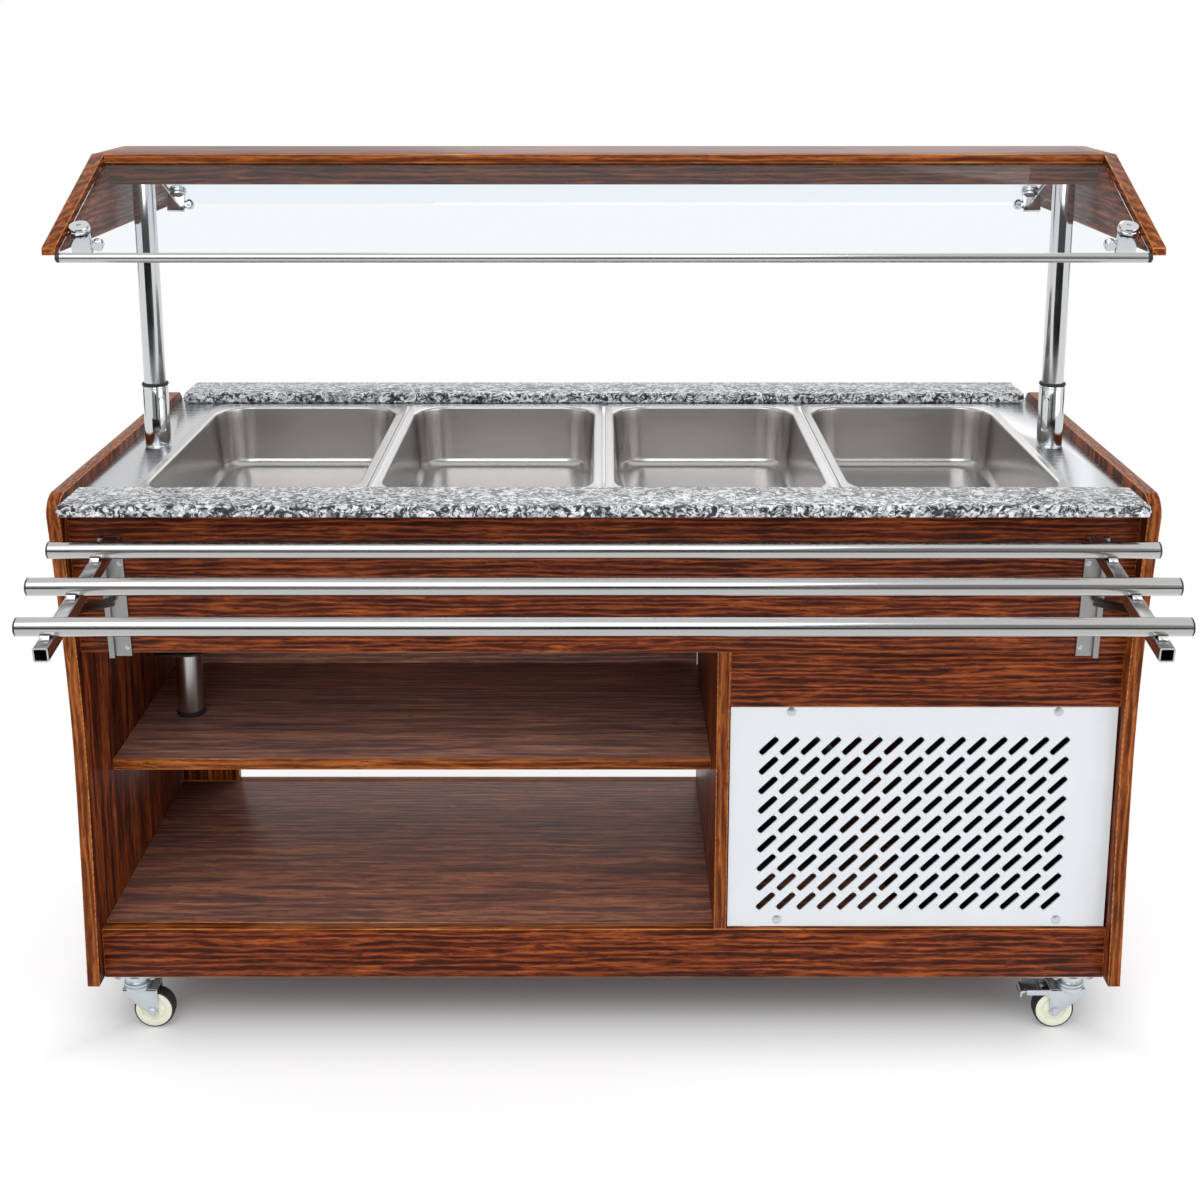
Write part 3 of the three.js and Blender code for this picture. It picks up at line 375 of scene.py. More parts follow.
@dataclass(frozen=True)
class PolishedSteel(Finish):
    """Mirror-polished stainless: faint hazy clouds from the buffing wheel."""

    colour: str = "#cfd1d3"
    roughness: float = 0.09

    def paint(self, tree: bpy.types.NodeTree, shader: bpy.types.Node) -> None:
        """Cloud the polish.

        Args:
            tree: The material's tree.
            shader: Its Principled shader.
        """
        haze = add_node(tree, "ShaderNodeTexNoise", None, {
            "Vector": self.place(tree, (1.0, 1.0, 0.2)), "Scale": 60.0, "Detail": 2.0})
        spread = add_node(tree, "ShaderNodeMapRange", None, {
            "Value": haze.outputs["Fac"], "From Min": 0.3, "From Max": 0.7,
            "To Min": self.roughness - 0.03, "To Max": self.roughness + 0.05})
        tree.links.new(spread.outputs["Result"], shader.inputs["Roughness"])
        shader.inputs["Base Color"].default_value = linear(self.colour)
        shader.inputs["Metallic"].default_value = 1.0


@dataclass(frozen=True)
class ZincPlate(Finish):
    """Zinc-plated pressed steel: a bluish metal with a cloudy passivated skin."""

    colour: str = "#d3dbe0"
    roughness: float = 0.36

    def paint(self, tree: bpy.types.NodeTree, shader: bpy.types.Node) -> None:
        """Cloud the plating in patches of some 12 mm.

        Args:
            tree: The material's tree.
            shader: Its Principled shader.
        """
        clouds = add_node(tree, "ShaderNodeTexNoise", None, {
            "Vector": self.place(tree, (1.0, 1.0, 1.0)), "Scale": 85.0, "Detail": 4.0,
            "Roughness": 0.6})
        tone = add_node(tree, "ShaderNodeMix", {"data_type": "RGBA", "blend_type": "MULTIPLY"}, {
            0: 0.16, 6: linear(self.colour), 7: clouds.outputs["Color"]})
        spread = add_node(tree, "ShaderNodeMapRange", None, {
            "Value": clouds.outputs["Fac"], "From Min": 0.3, "From Max": 0.7,
            "To Min": self.roughness - 0.08, "To Max": self.roughness + 0.1})
        tree.links.new(tone.outputs[2], shader.inputs["Base Color"])
        tree.links.new(spread.outputs["Result"], shader.inputs["Roughness"])
        shader.inputs["Metallic"].default_value = 1.0
        self.bump(tree, shader, clouds.outputs["Fac"], 0.05, 0.2)


@dataclass(frozen=True)
class Coating(Finish):
    """A sprayed or moulded skin: powder coat, enamel, plastic or rubber, finely textured."""

    colour: str
    texture_mm: float
    roughness: float
    depth: float = 0.3
    metallic: float = 0.0
    wear: str = "#808080"
    wear_share: float = 0.08

    def paint(self, tree: bpy.types.NodeTree, shader: bpy.types.Node) -> None:
        """Texture the skin and vary its tone a little.

        Args:
            tree: The material's tree.
            shader: Its Principled shader.
        """
        where = self.place(tree, (1.0, 1.0, 1.0))
        skin = add_node(tree, "ShaderNodeTexNoise", None, {
            "Vector": where, "Scale": 1 / (self.texture_mm * MM), "Detail": 2.0, "Roughness": 0.5})
        patches = add_node(tree, "ShaderNodeTexNoise", None,
                           {"Vector": where, "Scale": 18.0, "Detail": 3.0})
        share = add_node(tree, "ShaderNodeMath", {"operation": "MULTIPLY"}, {
            0: patches.outputs["Fac"], 1: self.wear_share})
        tone = add_node(tree, "ShaderNodeMix", {"data_type": "RGBA"}, {
            0: share.outputs["Value"], 6: linear(self.colour), 7: linear(self.wear)})
        tree.links.new(tone.outputs[2], shader.inputs["Base Color"])
        shader.inputs["Roughness"].default_value = self.roughness
        shader.inputs["Metallic"].default_value = self.metallic
        self.bump(tree, shader, skin.outputs["Fac"], self.texture_mm * 0.1, self.depth)


@dataclass(frozen=True)
class FloatGlass(Finish):
    """Clear float glass with polished edges: almost colourless, faintly green where it is thick."""

    colour: str = "#f4f8fb"

    def paint(self, tree: bpy.types.NodeTree, shader: bpy.types.Node) -> None:
        """Let light through, with a faint ripple, and keep the pane's shadow light.

        Args:
            tree: The material's tree.
            shader: Its Principled shader.
        """
        shader.inputs["Base Color"].default_value = linear(self.colour)
        shader.inputs["Transmission Weight"].default_value = 1.0
        shader.inputs["Roughness"].default_value = 0.01
        shader.inputs["IOR"].default_value = 1.16
        ripple = add_node(tree, "ShaderNodeTexNoise", None, {
            "Vector": self.place(tree, (1.0, 1.0, 1.0)), "Scale": 6.0, "Detail": 1.0})
        self.bump(tree, shader, ripple.outputs["Fac"], 0.02, 0.05)
        clear = add_node(tree, "ShaderNodeBsdfTransparent", None, {"Color": linear("#eef4f2")})
        light = add_node(tree, "ShaderNodeLightPath")
        mixed = add_node(tree, "ShaderNodeMixShader", None, {
            0: light.outputs["Is Shadow Ray"], 1: shader.outputs["BSDF"], 2: clear.outputs["BSDF"]})
        out = next(n for n in tree.nodes if n.type == "OUTPUT_MATERIAL")
        tree.links.new(mixed.outputs["Shader"], out.inputs["Surface"])


@dataclass(frozen=True)
class FinishSet:
    """Every finish of the salad bar."""

    face_x: Finish = WalnutLaminate("walnut_laminate_grain_x", "wood", Axis.X, Walnut.FACE)
    face_y: Finish = WalnutLaminate("walnut_laminate_grain_y", "wood", Axis.Y, Walnut.FACE)
    face_z: Finish = WalnutLaminate("walnut_laminate_grain_z", "wood", Axis.Z, Walnut.FACE)
    # The shelf's top and the back panel's front: lighter tone and grey haze, painted light and
    # sheen.
    shelf_x: Finish = WalnutLaminate("walnut_laminate_shelf_painted_light_sheen", "wood", Axis.X, Walnut.PALE_PAINTED_LIGHT,
                                     0.1, 6.0, 0.24, 1.0, 15.0)
    # The deck's top: lighter tone and grey haze, painted light and sheen.
    deck_x: Finish = WalnutLaminate("walnut_laminate_deck_painted_light_sheen", "wood", Axis.X, Walnut.INNER_PAINTED_LIGHT,
                                    0.05, 8.0, 0.15)
    # The light_housing board's laminate, darkened with painted shade.
    housing_painted_shade: Finish = WalnutLaminate("walnut_laminate_painted_shade_housing", "wood", Axis.X, Walnut.HOUSING_PAINTED_SHADE, 0.1)
    edge_x: Finish = WalnutLaminate("walnut_edge_band_grain_x", "wood", Axis.X, Walnut.EDGE,
                                    0.1, 9.0)
    edge_y: Finish = WalnutLaminate("walnut_edge_band_grain_y", "wood", Axis.Y, Walnut.EDGE,
                                    0.1, 9.0)
    edge_z: Finish = WalnutLaminate("walnut_edge_band_grain_z", "wood", Axis.Z, Walnut.EDGE,
                                    0.1, 9.0)
    # Rounded arrises: painted highlight along every board edge.
    arris: Finish = WalnutLaminate("walnut_arris_painted_highlight", "wood", Axis.X, Walnut.ARRIS_PAINTED_HIGHLIGHT, 0.1, 9.0)
    granite: Finish = PolishedGranite("polished_white_granite", "granite")
    sheet_x: Finish = BrushedSteel("stainless_brushed_x", "stainless", "#bfc2c5", Axis.X, 0.26, 1.2,
                                   0.06, 0.05)
    sheet_y: Finish = BrushedSteel("stainless_brushed_y", "stainless", "#c6c7c8", Axis.Y, 0.24)
    sheet_z: Finish = BrushedSteel("stainless_brushed_z", "stainless", "#a3a2a1", Axis.Z, 0.36, 1.6,
                                   0.12, 0.25)
    satin_leg: Finish = BrushedSteel("stainless_satin_leg", "stainless", "#d2d2d3", Axis.Z, 0.3,
                                     1.6, 0.05, 0.2)
    drawn: Finish = BrushedSteel("stainless_deep_drawn", "stainless", "#bfbcba", Axis.X, 0.24, 1.4,
                                 0.004, 0.02)
    satin_tube: Finish = BrushedSteel("stainless_satin_tube", "stainless", "#bdbcbb", Axis.X, 0.15,
                                      0.9, 0.03, 0.05)
    polished: Finish = PolishedSteel("stainless_mirror_polished", "polished_steel")
    zinc: Finish = ZincPlate("zinc_plated_pressing", "zinc")
    # Dark brown steel for the struts: painted reflection of the wood in polished steel.
    dark_steel: Finish = Coating("flat_steel_painted_wood_reflection", "dark_steel", "#3a2b23", 1.5, 0.42, 0.2, 0.8,
                                 "#8b7768")
    powder: Finish = Coating("white_powder_coat", "white_paint", "#e4e8ec", 1.4, 0.42, 0.3, 0.0,
                             "#d7dadd", 0.5)
    enamel: Finish = Coating("black_stoved_enamel", "black_paint", "#16171a", 1.6, 0.34, 0.3, 0.0,
                             "#45474b")
    plastic: Finish = Coating("black_moulded_plastic", "black_plastic", "#151618", 0.8, 0.42, 0.3)
    rubber: Finish = Coating("black_tyre_rubber", "tyre_rubber", "#1b1b1c", 1.0, 0.72, 0.5)
    nylon: Finish = Coating("cream_cast_nylon", "tyre_rubber", "#f0f0de", 1.2, 0.4, 0.15, 0.0,
                            "#dedcc2", 0.4)
    opal: Finish = Coating("opal_acrylic", "diffuser", "#f1efe9", 1.0, 0.3, 0.1, 0.0, "#e3e0d8",
                           0.4)
    copper: Finish = Coating("drawn_copper_tube", "zinc", "#b8734a", 1.2, 0.3, 0.2, 1.0, "#7a4a30",
                             0.4)
    glass: Finish = FloatGlass("clear_float_glass", "glass")


FINISH = FinishSet()


def face_grain(grain: Axis) -> Finish:
    """Return the laminate with its grain along an axis."""
    return {Axis.X: FINISH.face_x, Axis.Y: FINISH.face_y, Axis.Z: FINISH.face_z}[grain]


def edge_grain(grain: Axis) -> Finish:
    """Return the edge band with its grain along an axis."""
    return {Axis.X: FINISH.edge_x, Axis.Y: FINISH.edge_y, Axis.Z: FINISH.edge_z}[grain]


# --------------------------------------------------------------------------------------------------
# Meshes
# --------------------------------------------------------------------------------------------------

def arc(cx: float, cy: float, r: float, start: float, end: float, steps: int) -> list[Flat]:
    """Return points on an arc.

    Args:
        cx: The centre's first coordinate.
        cy: Its second coordinate.
        r: The radius.
        start: The first angle, in degrees.
        end: The last angle.
        steps: How many chords.

    Returns:
        The points, both ends among them.
    """
    angles = [math.radians(start + (end - start) * i / steps) for i in range(steps + 1)]
    return [(cx + r * math.cos(a), cy + r * math.sin(a)) for a in angles]


def rounded(x0: float, x1: float, y0: float, y1: float, r: float, steps: int = 6) -> list[Flat]:
    """Return a rectangle with round corners.

    Args:
        x0: Its left side.
        x1: Its right side.
        y0: Its lower side.
        y1: Its upper side.
        r: The corner radius.
        steps: Chords in each corner.

    Returns:
        The outline, counter-clockwise.
    """
    corners = [(x1 - r, y1 - r, 0), (x0 + r, y1 - r, 90), (x0 + r, y0 + r, 180),
               (x1 - r, y0 + r, 270)]
    return [p for cx, cy, a in corners for p in arc(cx, cy, r, a, a + 90, steps)]


class Shape:
    """A mesh under construction, in millimetres, with y counted from the posts."""

    def __init__(self) -> None:
        """Start empty."""
        self.bm = bmesh.new()

    def take(self, part: bmesh.types.BMesh, finish: int, bevel: float = 0.0, segments: int = 2,
             bevel_finish: Optional[int] = None, fix: bool = True) -> "Shape":
        """Add a part, with its sharp edges rounded.

        Args:
            part: The part, which is freed.
            finish: The number of its finish.
            bevel: The width of the rounding.
            segments: Its steps.
            bevel_finish: The finish of the rounding, if it has its own.
            fix: Whether its normals are recalculated.

        Returns:
            The shape itself.
        """
        if fix:
            bmesh.ops.recalc_face_normals(part, faces=part.faces)
        if finish >= 0:
            for face in part.faces:
                face.material_index = finish
        if bevel > 0:
            sharp = [e for e in part.edges if e.is_manifold and e.calc_face_angle(0.0) > SHARP_EDGE]
            bmesh.ops.bevel(part, geom=sharp, offset=bevel, offset_type="OFFSET", segments=segments,
                            profile=0.5, affect="EDGES", clamp_overlap=True,
                            material=-1 if bevel_finish is None else bevel_finish)
        mesh = bpy.data.meshes.new("part")
        part.to_mesh(mesh)
        part.free()
        self.bm.from_mesh(mesh)
        bpy.data.meshes.remove(mesh)
        return self

    def node(self, name: str, thin: Optional[Axis] = None, bevel: float = 0.0, segments: int = 2,
             channel: bool = False) -> "Shape":
        """Add a clean copy of a CAD node.

        Args:
            name: The node.
            thin: A board's thin direction: faces across it get finish 0, and its edges finish 1.
            bevel: The width of the rounding, with finish 2 on a board.
            segments: Its steps.
            channel: Whether a flat face of it goes round an opening, which one polygon can't do.

        Returns:
            The shape itself.
        """
        part = bmesh.new()
        part.from_mesh(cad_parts[name].data)
        bmesh.ops.scale(part, vec=(MM_PER_M, MM_PER_M, MM_PER_M), verts=part.verts)
        bmesh.ops.translate(part, vec=(0, -POSTS_Y, 0), verts=part.verts)
        bmesh.ops.remove_doubles(part, verts=part.verts, dist=CAD_WELD)
        if channel:
            bmesh.ops.join_triangles(part, faces=part.faces, angle_face_threshold=FLAT_EDGE,
                                     angle_shape_threshold=math.pi)
        else:
            bmesh.ops.dissolve_limit(part, angle_limit=FLAT_EDGE, verts=part.verts,
                                     edges=part.edges)
        for face in part.faces:
            edge = thin is not None and abs(face.normal[thin.value]) < 0.7
            face.material_index = 1 if edge else 0
        return self.take(part, -1, bevel, segments, 2 if thin else None, fix=False)

    def box(self, low: Point, high: Point, finish: int = 0, bevel: float = 0.6, segments: int = 2,
            place: Optional[Matrix] = None) -> "Shape":
        """Add a block.

        Args:
            low: Its lowest corner.
            high: Its highest corner.
            finish: The number of its finish.
            bevel: The width of its rounded edges.
            segments: Their steps.
            place: A matrix to move it by.

        Returns:
            The shape itself.
        """
        outline = [(low[0], low[1]), (high[0], low[1]), (high[0], high[1]), (low[0], high[1])]
        return self.prism(outline, low[2], high[2], Axis.Z, finish, bevel, segments, place)

    def prism(self, outline: Sequence[Flat], start: float, end: float, axis: Axis = Axis.Z,
              finish: int = 0, bevel: float = 0.0, segments: int = 2,
              place: Optional[Matrix] = None, bevel_finish: Optional[int] = None) -> "Shape":
        """Add an extruded outline.

        Args:
            outline: YZ points along X, XZ points along Y, or XY points along Z.
            start: Where it starts on the axis.
            end: Where it ends.
            axis: The axis.
            finish: The number of its finish.
            bevel: The width of its rounded edges.
            segments: Their steps.
            place: A matrix to move it by.
            bevel_finish: The finish of the rounding, if it has its own.

        Returns:
            The shape itself.
        """
        def at(p: Flat, h: float) -> Point:
            """Return an outline's point p at height h along the axis."""
            return {Axis.X: (h, p[0], p[1]), Axis.Y: (p[0], h, p[1]), Axis.Z: (p[0], p[1], h)}[axis]

        part = bmesh.new()
        lower = [part.verts.new(at(p, start)) for p in outline]
        upper = [part.verts.new(at(p, end)) for p in outline]
        part.faces.new(lower)
        part.faces.new(upper)
        for i in range(len(outline)):
            j = (i + 1) % len(outline)
            part.faces.new((lower[i], lower[j], upper[j], upper[i]))
        if place is not None:
            part.transform(place)
        return self.take(part, finish, bevel, segments, bevel_finish)

    def loft(self, rings: Sequence[Sequence[Point]], finish: int = 0, closed: bool = False,
             caps: bool = True, place: Optional[Matrix] = None) -> "Shape":
        """Add a skin over rings of equal length.

        Args:
            rings: The rings, in order.
            finish: The number of its finish.
            closed: Whether the last ring joins the first.
            caps: Whether the two ends are closed.
            place: A matrix to move it by.

        Returns:
            The shape itself.
        """
        part = bmesh.new()
        made = [[part.verts.new(p) for p in ring] for ring in rings]
        count = len(made[0])
        pairs = list(zip(made, made[1:])) + ([(made[-1], made[0])] if closed else [])
        for a, b in pairs:
            for k in range(count):
                n = (k + 1) % count
                part.faces.new((a[k], a[n], b[n], b[k]))
        if caps and not closed:
            part.faces.new(made[0])
            part.faces.new(made[-1])
        if place is not None:
            part.transform(place)
        return self.take(part, finish)

    def lathe(self, profile: Sequence[Flat], centre: Point, axis: Axis = Axis.Z, sides: int = 48,
              closed: bool = False, finish: int = 0, place: Optional[Matrix] = None) -> "Shape":
        """Add a turned shape.

        Args:
            profile: Radii and heights along the axis.
            centre: Where height 0 lies.
            axis: The axis.
            sides: Chords round it.
            closed: Whether the profile is a closed loop, as for a tube.
            finish: The number of its finish.
            place: A matrix to move it by.

        Returns:
            The shape itself.
        """
        part = bmesh.new()
        rings = []
        for r, h in profile:
            if r < 1e-6:
                rings.append([part.verts.new((0, 0, h))])
            else:
                rings.append([part.verts.new((r * math.cos(a), r * math.sin(a), h))
                              for a in (2 * math.pi * k / sides for k in range(sides))])
        pairs = list(zip(rings, rings[1:])) + ([(rings[-1], rings[0])] if closed else [])
        for a, b in pairs:
            for k in range(sides if len(a) + len(b) > 2 else 0):
                n = (k + 1) % sides
                loop = [a[0]] if len(a) == 1 else [a[k], a[n]]
                loop += [b[0]] if len(b) == 1 else [b[n], b[k]]
                part.faces.new(loop)
        if not closed:
            for ring in (rings[0], rings[-1]):
                if len(ring) > 1:
                    part.faces.new(ring)
        part.transform(Matrix.Translation(centre) @ along(axis))
        if place is not None:
            part.transform(place)
        return self.take(part, finish)

    def pipe(self, path: Sequence[Point], radius: float, sides: int = 12, finish: int = 0,
             place: Optional[Matrix] = None) -> "Shape":
        """Add a round bar along a path.

        Args:
            path: The points of its middle line.
            radius: Its radius.
            sides: Chords round it.
            finish: The number of its finish.
            place: A matrix to move it by.

        Returns:
            The shape itself.
        """
        points = [Vector(p) for p in path]
        tangents = [(points[min(i + 1, len(points) - 1)] - points[max(i - 1, 0)]).normalized()
                    for i in range(len(points))]
        side = tangents[0].orthogonal().normalized()
        rings = []
        for point, tangent in zip(points, tangents):
            side = (side - tangent * side.dot(tangent)).normalized()
            other = tangent.cross(side)
            rings.append([tuple(point + radius * (math.cos(a) * side + math.sin(a) * other))
                          for a in (2 * math.pi * k / sides for k in range(sides))])
        return self.loft(rings, finish, place=place)

    def piece(self, name: str, body: str, finishes: Sequence[Finish], replaces: Sequence[str] = (),
              smooth: float = 34.0) -> bpy.types.Object:
        """Make the object and fix it to its body.

        Args:
            name: Its name.
            body: The CAD body that it moves with.
            finishes: Its finishes, in the order of their numbers.
            replaces: The CAD nodes that it stands for.
            smooth: The angle past which an edge stays sharp, in degrees.

        Returns:
            The object.
        """
        bmesh.ops.translate(self.bm, vec=(0, POSTS_Y, 0), verts=self.bm.verts)
        bmesh.ops.scale(self.bm, vec=(MM, MM, MM), verts=self.bm.verts)
        mesh = bpy.data.meshes.new(name)
        self.bm.to_mesh(mesh)
        self.bm.free()
        mesh.polygons.foreach_set("use_smooth", [True] * len(mesh.polygons))
        mesh.set_sharp_from_angle(angle=math.radians(smooth))
        obj = bpy.data.objects.new(name, mesh)
        bpy.context.scene.collection.objects.link(obj)
        for finish in finishes:
            mesh.materials.append(finish.material())
        return settle(obj, body, replaces)


def settle(obj: bpy.types.Object, body: str,
           replaces: Sequence[str] = ()) -> bpy.types.Object:
    """Fix a finished piece to its body.

    Args:
        obj: The piece.
        body: The CAD body that it moves with.
        replaces: The CAD nodes that it stands for.

    Returns:
        The piece.
    """
    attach(obj, body)
    if replaces:
        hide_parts(*replaces)
    LOG.info("made %s on %s", obj.name, body)
    return obj


def dress(node: str, finish: Finish) -> None:
    """Give a CAD node that stays its finish.

    Args:
        node: The node.
        finish: The finish.
    """
    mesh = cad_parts[node].data
    mesh.materials.clear()
    mesh.materials.append(finish.material())
    LOG.info("dressed %s in %s", node, finish.name)


# --------------------------------------------------------------------------------------------------
# Repeated parts
# --------------------------------------------------------------------------------------------------

class Tree:
    """A Geometry Nodes tree with named inputs, run once on an object of its own."""

    def __init__(self, name: str) -> None:
        """Start a tree.

        Args:
            name: Its name.
        """
        self.tree = bpy.data.node_groups.new(name, "GeometryNodeTree")
        self.values: dict[str, Any] = {}
        self.tree.interface.new_socket("Geometry", in_out="INPUT", socket_type="NodeSocketGeometry")
        self.tree.interface.new_socket("Geometry", in_out="OUTPUT",
                                       socket_type="NodeSocketGeometry")
        self.entry = self.tree.nodes.new("NodeGroupInput")
        self.exit = self.tree.nodes.new("NodeGroupOutput")

    def ask(self, name: str, kind: str, value: Any) -> bpy.types.NodeSocket:
        """Add a named input.

        Args:
            name: Its name.
            kind: Its socket type, without the prefix.
            value: Its value in this run.

        Returns:
            The socket inside the tree.
        """
        item = self.tree.interface.new_socket(name, in_out="INPUT", socket_type="NodeSocket" + kind)
        self.values[item.identifier] = value
        return self.entry.outputs[name]

    def node(self, kind: str, settings: Optional[dict[str, Any]] = None,
             inputs: Optional[dict[Union[str, int], Any]] = None) -> bpy.types.Node:
        """Add a node to the tree."""
        return add_node(self.tree, "GeometryNode" + kind, settings, inputs)

    def run(self, name: str, result: bpy.types.NodeSocket, finish: Finish,
            points: Sequence[Point] = ()) -> bpy.types.Object:
        """Realise the result as a plain mesh.

        Args:
            name: The object's name.
            result: The instances.
            finish: Their finish.
            points: Places for the tree's own geometry input, in millimetres.

        Returns:
            The object, with no modifier left.
        """
        real = self.node("RealizeInstances", None, {"Geometry": result})
        painted = self.node("SetMaterial", None, {"Geometry": real.outputs["Geometry"]})
        self.tree.links.new(self.ask("Material", "Material", finish.material()),
                            painted.inputs["Material"])
        self.tree.links.new(painted.outputs["Geometry"], self.exit.inputs[0])
        mesh = bpy.data.meshes.new(name)
        mesh.from_pydata([(x * MM, (y + POSTS_Y) * MM, z * MM) for x, y, z in points], [], [])
        obj = bpy.data.objects.new(name, mesh)
        bpy.context.scene.collection.objects.link(obj)
        modifier = obj.modifiers.new("parts", "NODES")
        modifier.node_group = self.tree
        for identifier, value in self.values.items():
            modifier[identifier] = value
        obj.update_tag()
        bpy.context.view_layer.update()
        graph = bpy.context.evaluated_depsgraph_get()
        made = bpy.data.meshes.new_from_object(obj.evaluated_get(graph), depsgraph=graph)
        obj.modifiers.clear()
        obj.data = made
        made.name = name
        made.polygons.foreach_set("use_smooth", [True] * len(made.polygons))
        made.set_sharp_from_angle(angle=math.radians(34))
        return obj


@dataclass
class Perforations:
    """The rolled lips of a grid of slots in an upright sheet."""

    columns: int
    rows: int
    pitch_x: float
    pitch_z: float
    length: float
    width: float
    turn: float
    middle: Point
    lip: float

    def build(self, name: str, finish: Finish) -> bpy.types.Object:
        """Make the lips.

        Args:
            name: The object's name.
            finish: Their finish.

        Returns:
            The object.
        """
        tree = Tree("slot_lips")
        columns = tree.ask("Columns", "Int", self.columns)
        rows = tree.ask("Rows", "Int", self.rows)
        width = tree.ask("Grid width", "Float", (self.columns - 1) * self.pitch_x * MM)
        height = tree.ask("Grid height", "Float", (self.rows - 1) * self.pitch_z * MM)
        length = tree.ask("Slot length", "Float", self.length * MM)
        slot = tree.ask("Slot width", "Float", self.width * MM)
        corner = tree.ask("Corner radius", "Float", self.width / 2 * MM * 0.999)
        lip = tree.ask("Lip radius", "Float", self.lip * MM)
        turn = tree.ask("Slot turn", "Vector", (0.0, 0.0, self.turn))
        stand = tree.ask("Sheet turn", "Vector", (math.pi / 2, 0.0, 0.0))
        x, y, z = self.middle
        middle = tree.ask("Middle", "Vector", (x * MM, (y + POSTS_Y) * MM, z * MM))
        outline = tree.node("CurvePrimitiveQuadrilateral", {"mode": "RECTANGLE"}, {
            "Width": length, "Height": slot})
        capsule = tree.node("FilletCurve", {"mode": "POLY"}, {
            "Curve": outline.outputs["Curve"], "Count": 5, "Radius": corner, "Limit Radius": True})
        ring = tree.node("CurvePrimitiveCircle", {"mode": "RADIUS"},
                         {"Resolution": 6, "Radius": lip})
        rolled = tree.node("CurveToMesh", None, {
            "Curve": capsule.outputs["Curve"], "Profile Curve": ring.outputs["Curve"]})
        grid = tree.node("MeshGrid", None, {
            "Size X": width, "Size Y": height, "Vertices X": columns, "Vertices Y": rows})
        placed = tree.node("InstanceOnPoints", None, {
            "Points": grid.outputs["Mesh"], "Instance": rolled.outputs["Mesh"], "Rotation": turn})
        upright = tree.node("Transform", None, {
            "Geometry": placed.outputs["Instances"], "Rotation": stand, "Translation": middle})
        return tree.run(name, upright.outputs["Geometry"], finish)


@dataclass
class Fins:
    """Thin plates in a row."""

    count: int
    pitch: float
    size: Point
    middle: Point
    row: Axis

    def build(self, name: str, finish: Finish) -> bpy.types.Object:
        """Make the plates.

        Args:
            name: The object's name.
            finish: Their finish.

        Returns:
            The object.
        """
        tree = Tree("fin_row")
        step = [0.0, 0.0, 0.0]
        step[self.row.value] = self.pitch * MM
        start = [self.middle[0] * MM, (self.middle[1] + POSTS_Y) * MM, self.middle[2] * MM]
        start[self.row.value] -= step[self.row.value] * (self.count - 1) / 2
        count = tree.ask("Count", "Int", self.count)
        first = tree.ask("First place", "Vector", tuple(start))
        pitch = tree.ask("Pitch", "Vector", tuple(step))
        size = tree.ask("Fin size", "Vector", tuple(c * MM for c in self.size))
        line = tree.node("MeshLine", {"mode": "OFFSET"}, {
            "Count": count, "Start Location": first, "Offset": pitch})
        fin = tree.node("MeshCube", None, {"Size": size})
        placed = tree.node("InstanceOnPoints", None, {
            "Points": line.outputs["Mesh"], "Instance": fin.outputs["Mesh"]})
        return tree.run(name, placed.outputs["Instances"], finish)


@dataclass
class Fasteners:
    """Copies of one head at given places, all facing one way."""

    head: Shape
    places: Sequence[Point]
    turn: Point = (0.0, 0.0, 0.0)

    def build(self, name: str, finish: Finish) -> bpy.types.Object:
        """Set a head at each place.

        Args:
            name: The object's name.
            finish: Their finish.

        Returns:
            The object.
        """
        mesh = bpy.data.meshes.new("head")
        bmesh.ops.scale(self.head.bm, vec=(MM, MM, MM), verts=self.head.bm.verts)
        self.head.bm.to_mesh(mesh)
        self.head.bm.free()
        pattern = bpy.data.objects.new("head", mesh)
        tree = Tree("fasteners")
        head = tree.ask("Head", "Object", pattern)
        turn = tree.ask("Turn", "Vector", self.turn)
        info = tree.node("ObjectInfo", {"transform_space": "ORIGINAL"}, {"Object": head})
        placed = tree.node("InstanceOnPoints", None, {
            "Points": tree.entry.outputs["Geometry"], "Instance": info.outputs["Geometry"],
            "Rotation": turn})
        made = tree.run(name, placed.outputs["Instances"], finish, self.places)
        bpy.data.objects.remove(pattern)
        bpy.data.meshes.remove(mesh)
        return made


def pan_head(radius: float, height: float) -> Shape:
    """Return a round screw head along +Z with a dimple in its top."""
    shape = Shape()
    shape.lathe([(0, height * 0.55), (radius * 0.16, height * 0.6), (radius * 0.3, height),
                 (radius * 0.55, height * 0.97), (radius * 0.82, height * 0.72),
                 (radius * 0.97, height * 0.3), (radius, 0), (0, -0.4)], (0, 0, 0), sides=20)
    return shape


def hex_head(radius: float, height: float) -> Shape:
    """Return a hexagonal bolt head along +Z on its washer."""
    shape = Shape()
    shape.lathe([(0, 0), (radius * 1.5, 0), (radius * 1.5, height * 0.22), (0, height * 0.22)],
                (0, 0, 0), sides=24)
    shape.lathe([(0, height * 0.2), (radius, height * 0.2), (radius, height * 0.86),
                 (radius * 0.84, height), (0, height)], (0, 0, 0), sides=6)
    return shape


# --------------------------------------------------------------------------------------------------
# Cabinet
# --------------------------------------------------------------------------------------------------

